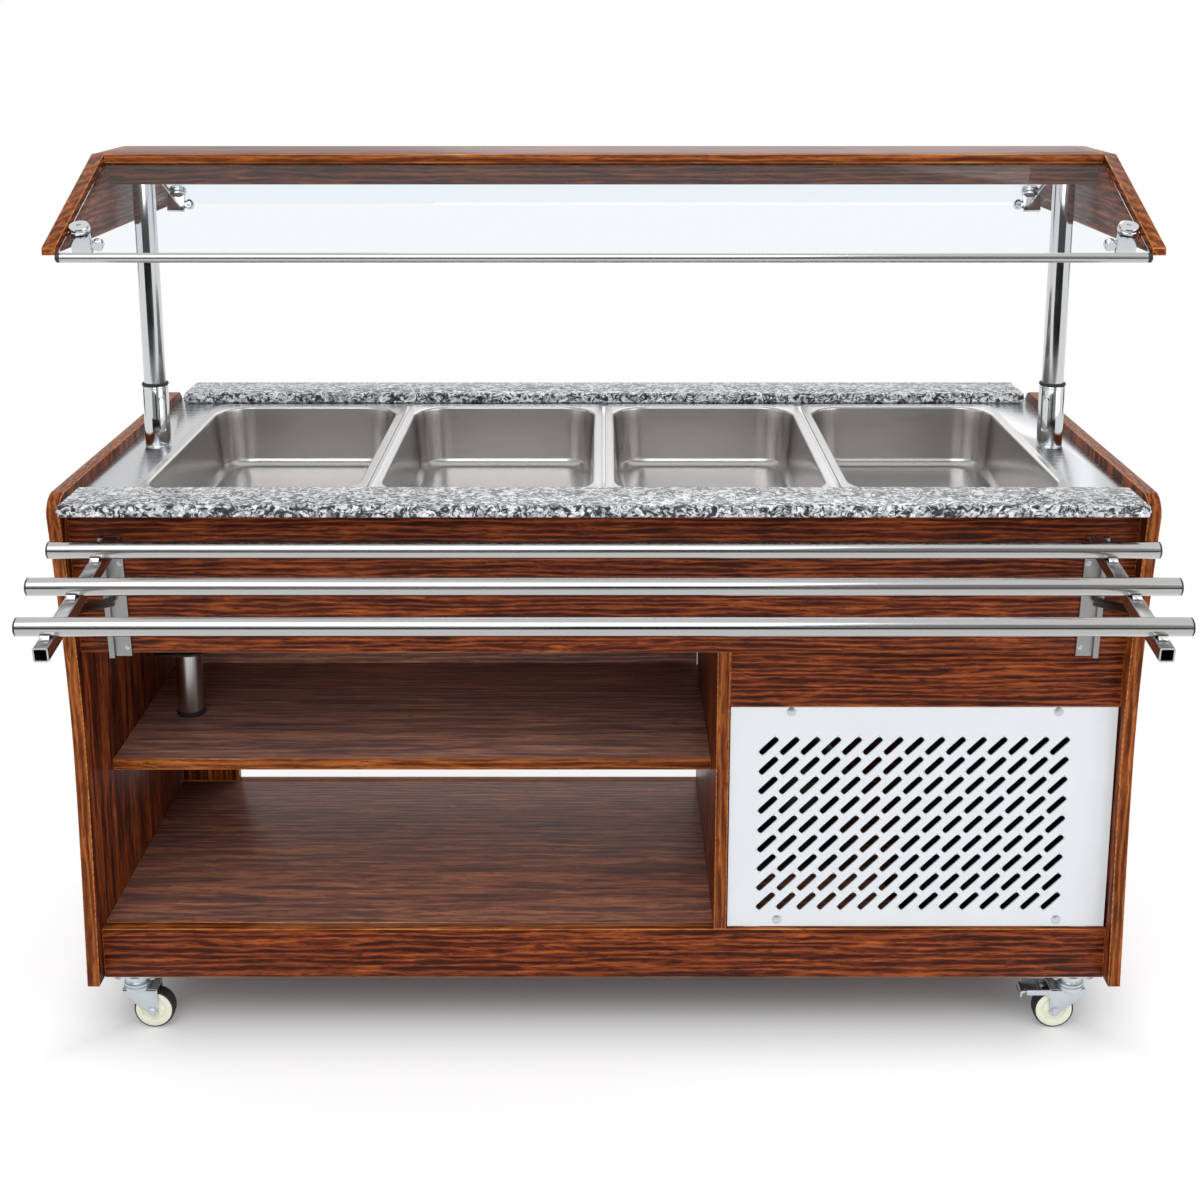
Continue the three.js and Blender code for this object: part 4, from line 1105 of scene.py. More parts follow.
@dataclass
class Board:
    """A laminated board with banded edges and rounded arrises given a painted highlight."""

    node: str
    thin: Axis
    grain: Axis
    # The face finish of a board that has light, sheen or shade painted into its colour.
    painted_lighting_face: Optional[Finish] = None
    plain_side: int = 0
    channel: bool = False

    def build(self, body: str, arris: float) -> bpy.types.Object:
        """Make the board over its CAD node.

        Args:
            body: The CAD body that it moves with.
            arris: The width of its rounded arrises.

        Returns:
            The board.
        """
        shape = Shape().node(self.node, self.thin, arris, 2, self.channel)
        face = self.painted_lighting_face or face_grain(self.grain)
        # The darkened copy keeps its painted shade on the edges and arrises too.
        edge = FINISH.housing_painted_shade if self.painted_lighting_face is FINISH.housing_painted_shade else edge_grain(self.grain)
        finishes = [face, edge, FINISH.housing_painted_shade if edge is face else FINISH.arris]
        # The face away from the light keeps the plain print; only the other face has the painted
        # light.
        if self.plain_side:
            finishes.append(face_grain(self.grain))
        board = shape.piece(f"{self.node}.board", body, finishes, [self.node])
        for side in board.data.polygons if self.plain_side else ():
            if side.material_index == 0 and side.normal[self.thin.value] * self.plain_side > 0.5:
                side.material_index = 3
        return board


@dataclass
class Cabinet:
    """The laminated carcass: side panels, boards, aprons, deck and shelf."""

    arris: float = 1.1
    caster_x: float = 694.0
    pad_half: float = 30.0
    boards: Sequence[Board] = field(default_factory=lambda: (
        Board("side_panel_left", Axis.X, Axis.Z), Board("side_panel_right", Axis.X, Axis.Z),
        Board("front_base_board", Axis.Y, Axis.X), Board("rear_base_board", Axis.Y, Axis.X),
        # Deck, shelf and back panel: painted light and sheen on their lit faces.
        Board("base_deck", Axis.Z, Axis.X, FINISH.deck_x, -1),
        Board("mid_shelf", Axis.Z, Axis.X, FINISH.shelf_x, -1),
        Board("divider_panel", Axis.X, Axis.Z),
        Board("upper_back_panel", Axis.Y, Axis.X, FINISH.shelf_x, 1),
        Board("rear_corner_stile", Axis.Y, Axis.Z), Board("front_apron", Axis.Y, Axis.X),
        Board("rear_apron", Axis.Y, Axis.X), Board("grille_rail", Axis.Y, Axis.X),
        Board("rear_vent_panel", Axis.Y, Axis.X)))

    def build(self) -> None:
        """Make the boards and the caster plates."""
        for board in self.boards:
            board.build("cabinet", self.arris)
        self.build_plates()

    def build_plates(self) -> None:
        """Make a zinc-plated mounting plate round each caster's pad, with its four bolts."""
        shape = Shape()
        bolts = []
        half = self.pad_half + 1.5
        for _, y in CASTER_ROWS:
            for sign in (-1, 1):
                x = sign * self.caster_x
                front = max(y - half, -258.2)
                outline = rounded(x - half, x + min(half, 31.0), front, y + half, 5, 4)
                shape.prism(outline, 87.9, 91.4, bevel=0.5)
                bolts += [(x + dx, y + dy, 91.4) for dx in (-25, 25) for dy in (-14, 24)]
        shape.piece("caster_plates", "cabinet", [FINISH.zinc])
        heads = Fasteners(hex_head(4.2, 4.0), [(x, y, 88.0) for x, y, _ in bolts], (math.pi, 0, 0))
        settle(heads.build("caster_plate_bolts", FINISH.zinc), "cabinet")


@dataclass
class Grille:
    """The white pressed sheet in front of the cooling unit."""

    face: float = -270.0
    columns: int = 15
    rows: int = 9
    pitch: Flat = (29.6, 30.3)
    slot_length: float = 35.0
    slot_width: float = 9.6
    middle: Flat = (442.2, 341.5)
    studs: Sequence[Flat] = ((266, 515), (645, 515), (252, 191), (659, 191))

    def build(self) -> None:
        """Make the sheet, its lips and its studs."""
        shape = Shape().node("compressor_grille")
        shape.piece("compressor_grille.sheet", "cabinet", [FINISH.powder], ["compressor_grille"],
                    smooth=20)
        x, z = self.middle
        lips = Perforations(self.columns, self.rows, *self.pitch, self.slot_length + 0.7,
                            self.slot_width + 0.7, math.pi / 4, (x, self.face, z), 0.5)
        settle(lips.build("grille_slot_lips", FINISH.powder), "cabinet")
        head = Shape().lathe([(0, 2.1), (4.2, 1.9), (6.3, 1.1), (6.9, 0.2), (6.9, -0.5), (0, -0.5)],
                             (0, 0, 0), sides=24)
        studs = Fasteners(head, [(sx, self.face, sz) for sx, sz in self.studs], (math.pi / 2, 0, 0))
        settle(studs.build("grille_studs", FINISH.zinc), "cabinet")


@dataclass
class CoolingUnit:
    """The hermetic compressor, condenser, fan and cable gland behind the grille."""

    deck: float = 178.3
    pot: Flat = (300.0, -30.0)
    core: tuple[float, float] = (430.0, 700.0)
    core_y: tuple[float, float] = (-244.0, -200.0)
    core_top: float = 468.3
    fan: Point = (565.0, -176.0, 323.3)

    def build(self) -> None:
        """Make the unit's pieces."""
        self.build_compressor()
        self.build_condenser()
        self.build_fan()
        self.build_gland()

    def build_compressor(self) -> None:
        """Make the welded steel pot on its plate, with its terminal box and copper tubes."""
        x, y = self.pot
        z = self.deck
        shape = Shape().prism(rounded(x - 90, x + 90, y - 90, y + 90, 10, 5), z, z + 5, bevel=0.6)
        shape.lathe([(0, 12), (52, 12), (66, 20), (75, 38), (78, 60), (78, 94), (80, 95), (80, 103),
                     (78, 104), (77, 130), (71, 154), (58, 174), (36, 187), (0, 190)],
                    (x, y, z), sides=56, finish=1)
        for dx in (-62, 62):
            for dy in (-62, 62):
                shape.lathe([(0, 4), (14, 4), (13, 10), (9, 12), (9, 18), (12, 20), (12, 24),
                             (0, 24)], (x + dx, y + dy, z), sides=24, finish=2)
                if dx * dy > 0:
                    shape.box((x + dx * 0.62 - 14, y + dy * 0.62 - 14, z + 24),
                              (x + dx + 12, y + dy + 12, z + 27), 1, 0.5)
        shape.box((x + 60, y - 28, z + 70), (x + 89, y + 28, z + 128), 2, 4.0, 4)
        shape.pipe([(x - 30, y - 40, z + 178), (x - 32, y - 42, z + 188)], 3.2, finish=3)
        shape.piece("compressor.pot", "cabinet",
                    [FINISH.zinc, FINISH.enamel, FINISH.plastic, FINISH.copper], ["compressor"])

    def build_condenser(self) -> None:
        """Make the finned core between its end plates, the tray and the fan's motor."""
        x0, x1 = self.core
        y0, y1 = self.core_y
        z0, z1 = self.deck, self.core_top
        shape = Shape().box((x0, y0, z0), (x1, -122, z0 + 4), 0, 0.6)
        for x in (x0, x1 - 3):
            shape.box((x, y0, z0 + 3), (x + 3, y1, z1), 0, 0.6)
        for z in (z0 + 3, z1 - 3):
            shape.box((x0, y0, z), (x1, y1, z + 3), 0, 0.6)
        shape.box((x0 + 4, y1 - 8, z0 + 5), (x1 - 4, y1 - 5, z1 - 4), 0, 0.3)
        x, _, z = self.fan
        shape.lathe([(0, 0), (22, 0), (30, 5), (32, 12), (32, 34), (28, 40), (0, 40)], (x, -162, z),
                    Axis.Y, finish=0)
        shape.box((x - 12, -160, z0 + 3), (x + 12, -124, z - 28), 0, 0.8)
        shape.lathe([(0, -6), (4, -6), (4, 4), (0, 4)], (x, -162, z), Axis.Y, sides=16, finish=1)
        shape.piece("condenser.frame", "cabinet", [FINISH.enamel, FINISH.zinc], ["condenser"])
        middle = ((x0 + x1) / 2, (y0 + y1) / 2 - 4, (z0 + z1) / 2)
        fins = Fins(58, 4.55, (0.5, 34, z1 - z0 - 8), middle, Axis.X)
        settle(fins.build("condenser_fins", FINISH.enamel), "cabinet")

    def build_fan(self) -> None:
        """Make the rotor with five twisted blades."""
        x, y, z = self.fan
        shape = Shape().lathe([(0, 12), (20, 12), (26, 8), (27, 2), (27, -10), (25, -12), (0, -12)],
                              (x, y, z), Axis.Y)
        for k in range(5):
            rings = []
            for step in range(9):
                r = 25 + (114 - 25) * step / 8
                pitch = math.radians(36 - 16 * step / 8)
                chord = 30 + 22 * math.sin(math.pi * min(step / 8 + 0.15, 1) * 0.8)
                sweep = math.radians(72 * k + 6 * step / 8)
                ring = []
                for u, v in ((-1, 0), (-0.4, 1.6), (0.4, 1.6), (1, 0), (0.4, -1.0), (-0.4, -1.0)):
                    a = u * chord / 2 * math.cos(pitch)
                    d = max(min(u * chord / 2 * math.sin(pitch) + v, 11.5), -11.5)
                    angle = sweep + a / r
                    ring.append((x + r * math.cos(angle), y + d, z + r * math.sin(angle)))
                rings.append(ring)
            shape.loft(rings)
        shape.piece("condenser_fan.rotor", "fan", [FINISH.enamel], ["condenser_fan"])

    def build_gland(self) -> None:
        """Make the screwed cable gland in the rear panel."""
        lo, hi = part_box("cable_gland")
        x, z = (lo.x + hi.x) / 2 * MM_PER_M, (lo.z + hi.z) / 2 * MM_PER_M
        y0, y1 = lo.y * MM_PER_M - POSTS_Y, hi.y * MM_PER_M - POSTS_Y
        depth = y1 - y0
        shape = Shape().lathe([(5, 0), (10.8, 0), (10.8, 18.2), (5, 18.2)], (x, y0, z), Axis.Y,
                              closed=True)
        shape.lathe([(6, 18.2), (15.6, 18.2), (15.6, 21.6), (14.6, 22.4), (6, 22.4)], (x, y0, z),
                    Axis.Y, 6, closed=True)
        shape.lathe([(5, 22), (10.5, 22), (10.5, depth - 4), (8.2, depth - 0.6), (7, depth),
                     (5, depth)], (x, y0, z), Axis.Y, closed=True)
        shape.piece("cable_gland.body", "cabinet", [FINISH.plastic], ["cable_gland"])


# --------------------------------------------------------------------------------------------------
# Worktop
# --------------------------------------------------------------------------------------------------

@dataclass
class FoodPans:
    """Four pressed full-size food pans with rolled rims."""

    count: int = 4
    pitch: float = 330.0
    width: float = 325.0
    length: float = 530.0
    rim_top: float = 835.3
    rim_radius: float = 22.0
    mouth_radius: float = 58.0
    body: Flat = (300.0, 505.0)
    depth: float = 102.0
    wall: float = 1.5
    draft: float = 6.0
    steps: int = 12

    def ring(self, x: float, half_x: float, half_y: float, r: float, z: float) -> list[Point]:
        """Return a rounded rectangle round a pan's middle.

        Args:
            x: The pan's middle.
            half_x: Half its width.
            half_y: Half its length.
            r: The corner radius.
            z: The height.

        Returns:
            The points.
        """
        corners = rounded(x - half_x, x + half_x, -half_y, half_y, r, self.steps)
        return [(px, py, z) for px, py in corners]

    def build(self) -> None:
        """Make the pans."""
        for i in range(self.count):
            self.build_pan(i)

    def build_pan(self, i: int) -> None:
        """Press one pan: rolled edge, rim, mouth, drafted wall, floor and the same again outside.

        Args:
            i: Its number, from 0 at the left.
        """
        x = (i - (self.count - 1) / 2) * self.pitch
        hx, hy = self.width / 2, self.length / 2
        bx, by = self.body[0] / 2, self.body[1] / 2
        top = self.rim_top
        floor = top - self.depth
        rim = self.rim_radius
        inner: list[tuple[float, float, float, float]] = [
            (hx, hy, rim, top - 1.9), (hx, hy, rim, top - 0.9),
            (hx - 0.5, hy - 0.5, rim - 0.5, top - 0.25), (hx - 1.4, hy - 1.4, rim - 1.4, top),
            (hx - 2.6, hy - 2.6, rim - 2.6, top - 0.35), (hx - 3.6, hy - 3.6, rim - 3.4, top - 0.6),
            (bx + 3.2, by + 3.2, self.mouth_radius + 3, top - 0.6)]
        for k in range(1, 6):
            a = math.radians(90 * k / 5)
            inner.append((bx + 3.2 - 4.7 * math.sin(a), by + 3.2 - 4.7 * math.sin(a),
                          self.mouth_radius + 3 - 4.7 * math.sin(a),
                          top - 0.6 - 4.7 * (1 - math.cos(a))))
        low_x, low_y = bx - self.wall - self.draft, by - self.wall - self.draft
        foot = 14.0
        high_z, low_z = top - 5.3, floor + self.wall + foot
        for k in range(1, 6):
            t = k / 5
            inner.append((bx - self.wall - self.draft * t, by - self.wall - self.draft * t,
                          self.mouth_radius - 1.7 - 6 * t, high_z + (low_z - high_z) * t))
        for k in range(1, 7):
            a = math.radians(90 * k / 6)
            inset = foot * (1 - math.cos(a))
            inner.append((low_x - inset, low_y - inset, self.mouth_radius - 7.7 - inset * 0.55,
                          low_z - foot * math.sin(a)))
        inner.append((low_x - 62, low_y - 62, 26, floor + self.wall - 0.5))
        inner.append((low_x - 122, low_y - 122, 12, floor + self.wall - 0.9))
        outer = [(low_x - 122, low_y - 122, 12, floor + 0.1),
                 (low_x - 12, low_y - 12, 40, floor + 0.1),
                 (low_x + 0.6, low_y + 0.6, 52, floor + 13), (bx, by, self.mouth_radius, top - 7),
                 (bx, by, self.mouth_radius, top - 1.9)]
        rings = [self.ring(x, a, b, r, z) for a, b, r, z in inner]
        under = [self.ring(x, a, b, r, z) for a, b, r, z in outer]
        name = f"food_pan_{i + 1}"
        shape = Shape().loft(rings + under, closed=True)
        self.close_floor(shape, x, inner[-1], outer[0])
        shape.piece(f"{name}.pressing", f"pan_{i + 1}", [FINISH.drawn], [name], smooth=50)

    def close_floor(self, shape: Shape, x: float, upper: tuple[float, float, float, float],
                    lower: tuple[float, float, float, float]) -> None:
        """Close the middle of the floor above and below.

        Args:
            shape: The pan.
            x: Its middle.
            upper: Half width, half length, radius and height of the upper ring.
            lower: The same of the lower ring.
        """
        bmesh.ops.remove_doubles(shape.bm, verts=shape.bm.verts, dist=SEAM_WELD)
        wall = [f for f in shape.bm.faces if self.joins(f, upper[3], lower[3], x, upper[0])]
        bmesh.ops.delete(shape.bm, geom=wall, context="FACES_ONLY")
        edges = [e for e in shape.bm.edges if e.is_boundary]
        bmesh.ops.holes_fill(shape.bm, edges=edges, sides=0)
        bmesh.ops.recalc_face_normals(shape.bm, faces=shape.bm.faces)

    @staticmethod
    def joins(face: bmesh.types.BMFace, upper: float, lower: float, x: float, half: float) -> bool:
        """Return whether a face joins the floor's two middle rings."""
        heights = [v.co.z for v in face.verts]
        inside = all(abs(v.co.x - x) <= half + 0.01 for v in face.verts)
        return inside and min(heights) < lower + 0.01 and max(heights) > upper - 0.01


@dataclass
class Worktop:
    """The steel sheet with the pans' openings, the cold well and the two granite ledges."""

    ledge_half: float = 719.0
    ledge_y: tuple[float, float] = (282.0, 373.0)
    ledge_z: tuple[float, float] = (833.3, 850.0)
    pans: FoodPans = field(default_factory=FoodPans)

    def build(self) -> None:
        """Make the sheet, the ledges and the pans."""
        Shape().node("steel_worktop", bevel=0.5).piece("steel_worktop.sheet", "cabinet",
                                                       [FINISH.sheet_x], ["steel_worktop"])
        for name, sign in (("front", -1), ("rear", 1)):
            y = sorted(sign * v for v in self.ledge_y)
            shape = Shape().box((-self.ledge_half, y[0], self.ledge_z[0]),
                                (self.ledge_half, y[1], self.ledge_z[1]), 0, 3.2, 4)
            shape.piece(f"granite_ledge_{name}.slab", "cabinet", [FINISH.granite],
                        [f"granite_ledge_{name}"])
        dress("well_tank", FINISH.sheet_x)
        self.pans.build()


# --------------------------------------------------------------------------------------------------
# Posts and canopy
# --------------------------------------------------------------------------------------------------

@dataclass
class Posts:
    """The two telescopic posts in their sleeves, and the leg under the left one."""

    x: float = 685.5
    post: float = 16.4
    post_z: tuple[float, float] = (822.0, 1270.4)
    sleeve: float = 19.2
    sleeve_z: tuple[float, float] = (504.3, 928.7)
    collar: float = 20.0
    collar_top: float = 933.7
    bore: float = 16.7
    leg: Flat = (-655.5, -9.0)
    leg_z: tuple[float, float] = (397.3, 500.0)

    def build(self) -> None:
        """Make both posts and the leg."""
        for side, sign in (("left", -1), ("right", 1)):
            self.build_post(side, sign)
            self.build_sleeve(side, sign)
        self.build_leg()

    def build_post(self, side: str, sign: int) -> None:
        """Make the sliding tube.

        Args:
            side: Its side.
            sign: -1 at the left, 1 at the right.
        """
        z0, z1 = self.post_z
        r = self.post
        shape = Shape().lathe([(r - 2, z0), (r - 0.5, z0), (r, z0 + 0.5), (r, z1 - 0.5),
                               (r - 0.5, z1), (r - 2, z1)],
                              (sign * self.x, 0, 0), closed=True, sides=64)
        shape.piece(f"canopy_post_{side}.tube", "canopy", [FINISH.polished],
                    [f"canopy_post_{side}"])

    def build_sleeve(self, side: str, sign: int) -> None:
        """Make the fixed sleeve with its black ring and its latch.

        Args:
            side: Its side.
            sign: -1 at the left, 1 at the right.
        """
        z0, z1 = self.sleeve_z
        r, x = self.sleeve, sign * self.x
        shape = Shape().lathe([(self.bore, z0), (r - 0.5, z0), (r, z0 + 0.5), (r, 836),
                               (r - 0.35, 836.5), (r - 0.35, 837.1), (r, 837.6), (r, z1 - 4),
                               (r - 0.4, z1 - 3.4), (r - 0.4, z1 - 2.6), (r, z1 - 2), (r - 0.6, z1),
                               (self.bore, z1)], (x, 0, 0), closed=True, sides=64)
        ring = arc(self.collar - 2.4, z1 + 2.5, 2.4, -90, 90, 8)
        shape.lathe([(self.bore, z1 + 0.1), *ring, (self.bore, self.collar_top)], (x, 0, 0),
                    closed=True, sides=64, finish=1)
        angle = math.radians(-48 if sign < 0 else 228)
        turn = Matrix.Translation((x, 0, 0)) @ Matrix.Rotation(angle, 4, "Z")
        latch = rounded(-6.5, 6.5, 858, 914, 6.0, 6)
        rings = []
        for inset, proud in ((0, -0.2), (0, 0.35), (0.5, 0.7), (1.6, 0.7), (2.0, 0.3), (2.0, -0.2)):
            ring = []
            for u, z in latch:
                v = u * (1 - inset / 6.5)
                h = 886 + (z - 886) * (1 - inset / 28)
                a = v / r
                ring.append(((r + proud) * math.cos(a), (r + proud) * math.sin(a), h))
            rings.append(ring)
        shape.loft(rings, closed=True, place=turn)
        shape.piece(f"post_sleeve_{side}.tube", "cabinet", [FINISH.polished, FINISH.rubber],
                    [f"post_sleeve_{side}"])

    def build_leg(self) -> None:
        """Make the leg with its black foot ring and the flange that carries the sleeve."""
        x, y = self.leg
        z0, z1 = self.leg_z
        shape = Shape().lathe([(0, z0 + 7), (20.4, z0 + 7), (20.8, z0 + 7.4), (20.8, z1), (0, z1)],
                              (x, y, 0), sides=64)
        shape.lathe([(0, z0), (21.4, z0), (22.6, z0 + 1.2), (22.6, z0 + 6.4), (21.6, z0 + 7.7),
                     (20.6, z0 + 7.9), (0, z0 + 7.9)], (x, y, 0), sides=64, finish=1)
        lo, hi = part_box("support_leg")
        outline = rounded(lo.x * MM_PER_M, hi.x * MM_PER_M, lo.y * MM_PER_M - POSTS_Y,
                          hi.y * MM_PER_M - POSTS_Y, 20, 8)
        shape.prism(outline, z1, z1 + 4, Axis.Z, 1, 0.8)
        shape.piece("support_leg.tube", "cabinet", [FINISH.satin_leg, FINISH.plastic],
                    ["support_leg"])


@dataclass
class Canopy:
    """The glazed canopy: boards, lamp, two leaning panes, the front one's rail, and clamps."""

    arris: float = 1.1
    rail: float = 6.5
    rail_y: float = 313.0
    rail_z: float = 1169.8
    rail_half: float = 717.7
    slope: float = 24.0
    pane_half: float = 717.1
    pane_reach: tuple[float, float] = (6.8, 246.0)
    pane_thick: float = 5.0
    clamp_reach: float = 64.0
    clamp_x: float = 702.0
    boards: Sequence[Board] = field(default_factory=lambda: (
        Board("canopy_top_board", Axis.Z, Axis.X),
        # This board takes the darker walnut, painted shade.
        Board("light_housing", Axis.Z, Axis.X, FINISH.housing_painted_shade, 0, True),
        Board("canopy_end_left", Axis.X, Axis.Y), Board("canopy_end_right", Axis.X, Axis.Y)))

    def build(self) -> None:
        """Make the boards, the lamp, both panes and their fittings."""
        for board in self.boards:
            board.build("canopy", self.arris)
        self.build_lamp()
        for name, sign in (("front", -1), ("rear", 1)):
            self.build_pane(name, sign)
            self.build_clamps(name, sign)
        self.build_rail("front", -1)

    def on_pane(self, sign: int) -> Matrix:
        """Return a pane's matrix: X along it, Y up its slope, Z out of its upper face."""
        turn = Matrix.Rotation(math.pi, 4, "Z") if sign > 0 else Matrix.Identity(4)
        place = Matrix.Translation((0, sign * self.rail_y, self.rail_z))
        return place @ turn @ Matrix.Rotation(math.radians(self.slope), 4, "X")

    def build_lamp(self) -> None:
        """Make the ribbed opal diffuser."""
        lo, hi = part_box("lamp_diffuser")
        x0, x1 = lo.x * MM_PER_M, hi.x * MM_PER_M
        y0, y1 = lo.y * MM_PER_M - POSTS_Y, hi.y * MM_PER_M - POSTS_Y
        shape = Shape().box((x0, y0, 1240.6), (x1, y1, 1243), 0, 0.3)
        shape.piece("lamp_diffuser.panel", "canopy", [FINISH.opal], ["lamp_diffuser"])
        ribs = Fins(28, 4.0, (x1 - x0 - 4, 1.6, 1.0), (0, 0, 1240.5), Axis.Y)
        settle(ribs.build("lamp_diffuser_ribs", FINISH.opal), "canopy")

    def build_pane(self, name: str, sign: int) -> None:
        """Make a pane with ground edges.

        Args:
            name: Its side.
            sign: -1 in front, 1 behind.
        """
        half, thick = self.pane_half, self.pane_thick / 2
        shape = Shape().box((-half, self.pane_reach[0], -thick), (half, self.pane_reach[1], thick),
                            0, 0.7, 1, self.on_pane(sign))
        shape.piece(f"glass_{name}.pane", "canopy", [FINISH.glass], [f"glass_{name}"])

    def build_rail(self, name: str, sign: int) -> None:
        """Make the round rail along a pane's lower edge, with a black cap at each end.

        Args:
            name: Its side.
            sign: -1 in front, 1 behind.
        """
        r, half, cap = self.rail, self.rail_half, 7.0
        shape = Shape().lathe([(0, cap - half), (r, cap - half), (r, half - cap), (0, half - cap)],
                              (0, sign * self.rail_y, self.rail_z), Axis.X, sides=32)
        dome = [(0, -half), (r * 0.7, 0.5 - half), (r, 2.2 - half), (r, cap - half),
                (0, cap - half)]
        for turn in (dome, [(rr, -h) for rr, h in reversed(dome)]):
            shape.lathe(turn, (0, sign * self.rail_y, self.rail_z), Axis.X, sides=32, finish=1)
        shape.piece(f"glass_rail_{name}.bar", "canopy", [FINISH.satin_tube, FINISH.plastic],
                    [f"glass_rail_{name}"])

    def build_clamps(self, name: str, sign: int) -> None:
        """Make the disc clamps near a pane's ends, each on a block with a thumb screw.

        Args:
            name: The pane's side.
            sign: -1 in front, 1 behind.
        """
        thick = self.pane_thick / 2
        shape = Shape()
        matrix = self.on_pane(sign)
        for x in (-self.clamp_x, self.clamp_x):
            side = 1 if x > 0 else -1
            y = self.clamp_reach
            shape.lathe([(0, thick + 6.4), (2.2, thick + 6.6), (3.0, thick + 9.0),
                         (9.5, thick + 9.4), (12.8, thick + 8.4), (14.0, thick + 6.2),
                         (14.0, thick + 4.4), (13.2, thick + 3.6), (14.0, thick + 2.8),
                         (14.0, thick + 0.2), (0, thick + 0.2)], (x, y, 0), place=matrix)
            shape.lathe([(0, -thick - 0.2), (13.0, -thick - 0.2), (13.0, -thick - 2.4),
                         (12.0, -thick - 3.2), (0, -thick - 3.2)], (x, y, 0), place=matrix)
            low, high = sorted((x - side * 12.5, side * 717.6))
            shape.box((low, y - 4, -thick - 31), (high, y + 4, -thick - 2.4), 0, 1.6, 3, matrix)
            knob = x - side * 20
            low, high = sorted((knob, x - side * 12))
            shape.box((low, y - 2.5, -thick - 26), (high, y + 2.5, -thick - 12), 0, 1.0, 2, matrix)
            shape.lathe([(0, -6.5), (2.6, -6.3), (3.2, -4.4), (4.6, -4.2), (7.4, -5.4), (8.0, -4.2),
                         (8.0, 3.6), (7.2, 4.4), (0, 4.4)], (knob, y, -thick - 19), Axis.Y, 28,
                        place=self.flip(matrix, y))
        shape.piece(f"glass_clamps_{name}", "canopy", [FINISH.polished])

    @staticmethod
    def flip(matrix: Matrix, y: float) -> Matrix:
        """Return a pane's matrix with the thumb screws' heads turned up its slope."""
        return matrix @ Matrix.Translation((0, 2 * y, 0)) @ Matrix.Scale(-1, 4, (0, 1, 0))


# --------------------------------------------------------------------------------------------------
# Tray slide
# --------------------------------------------------------------------------------------------------

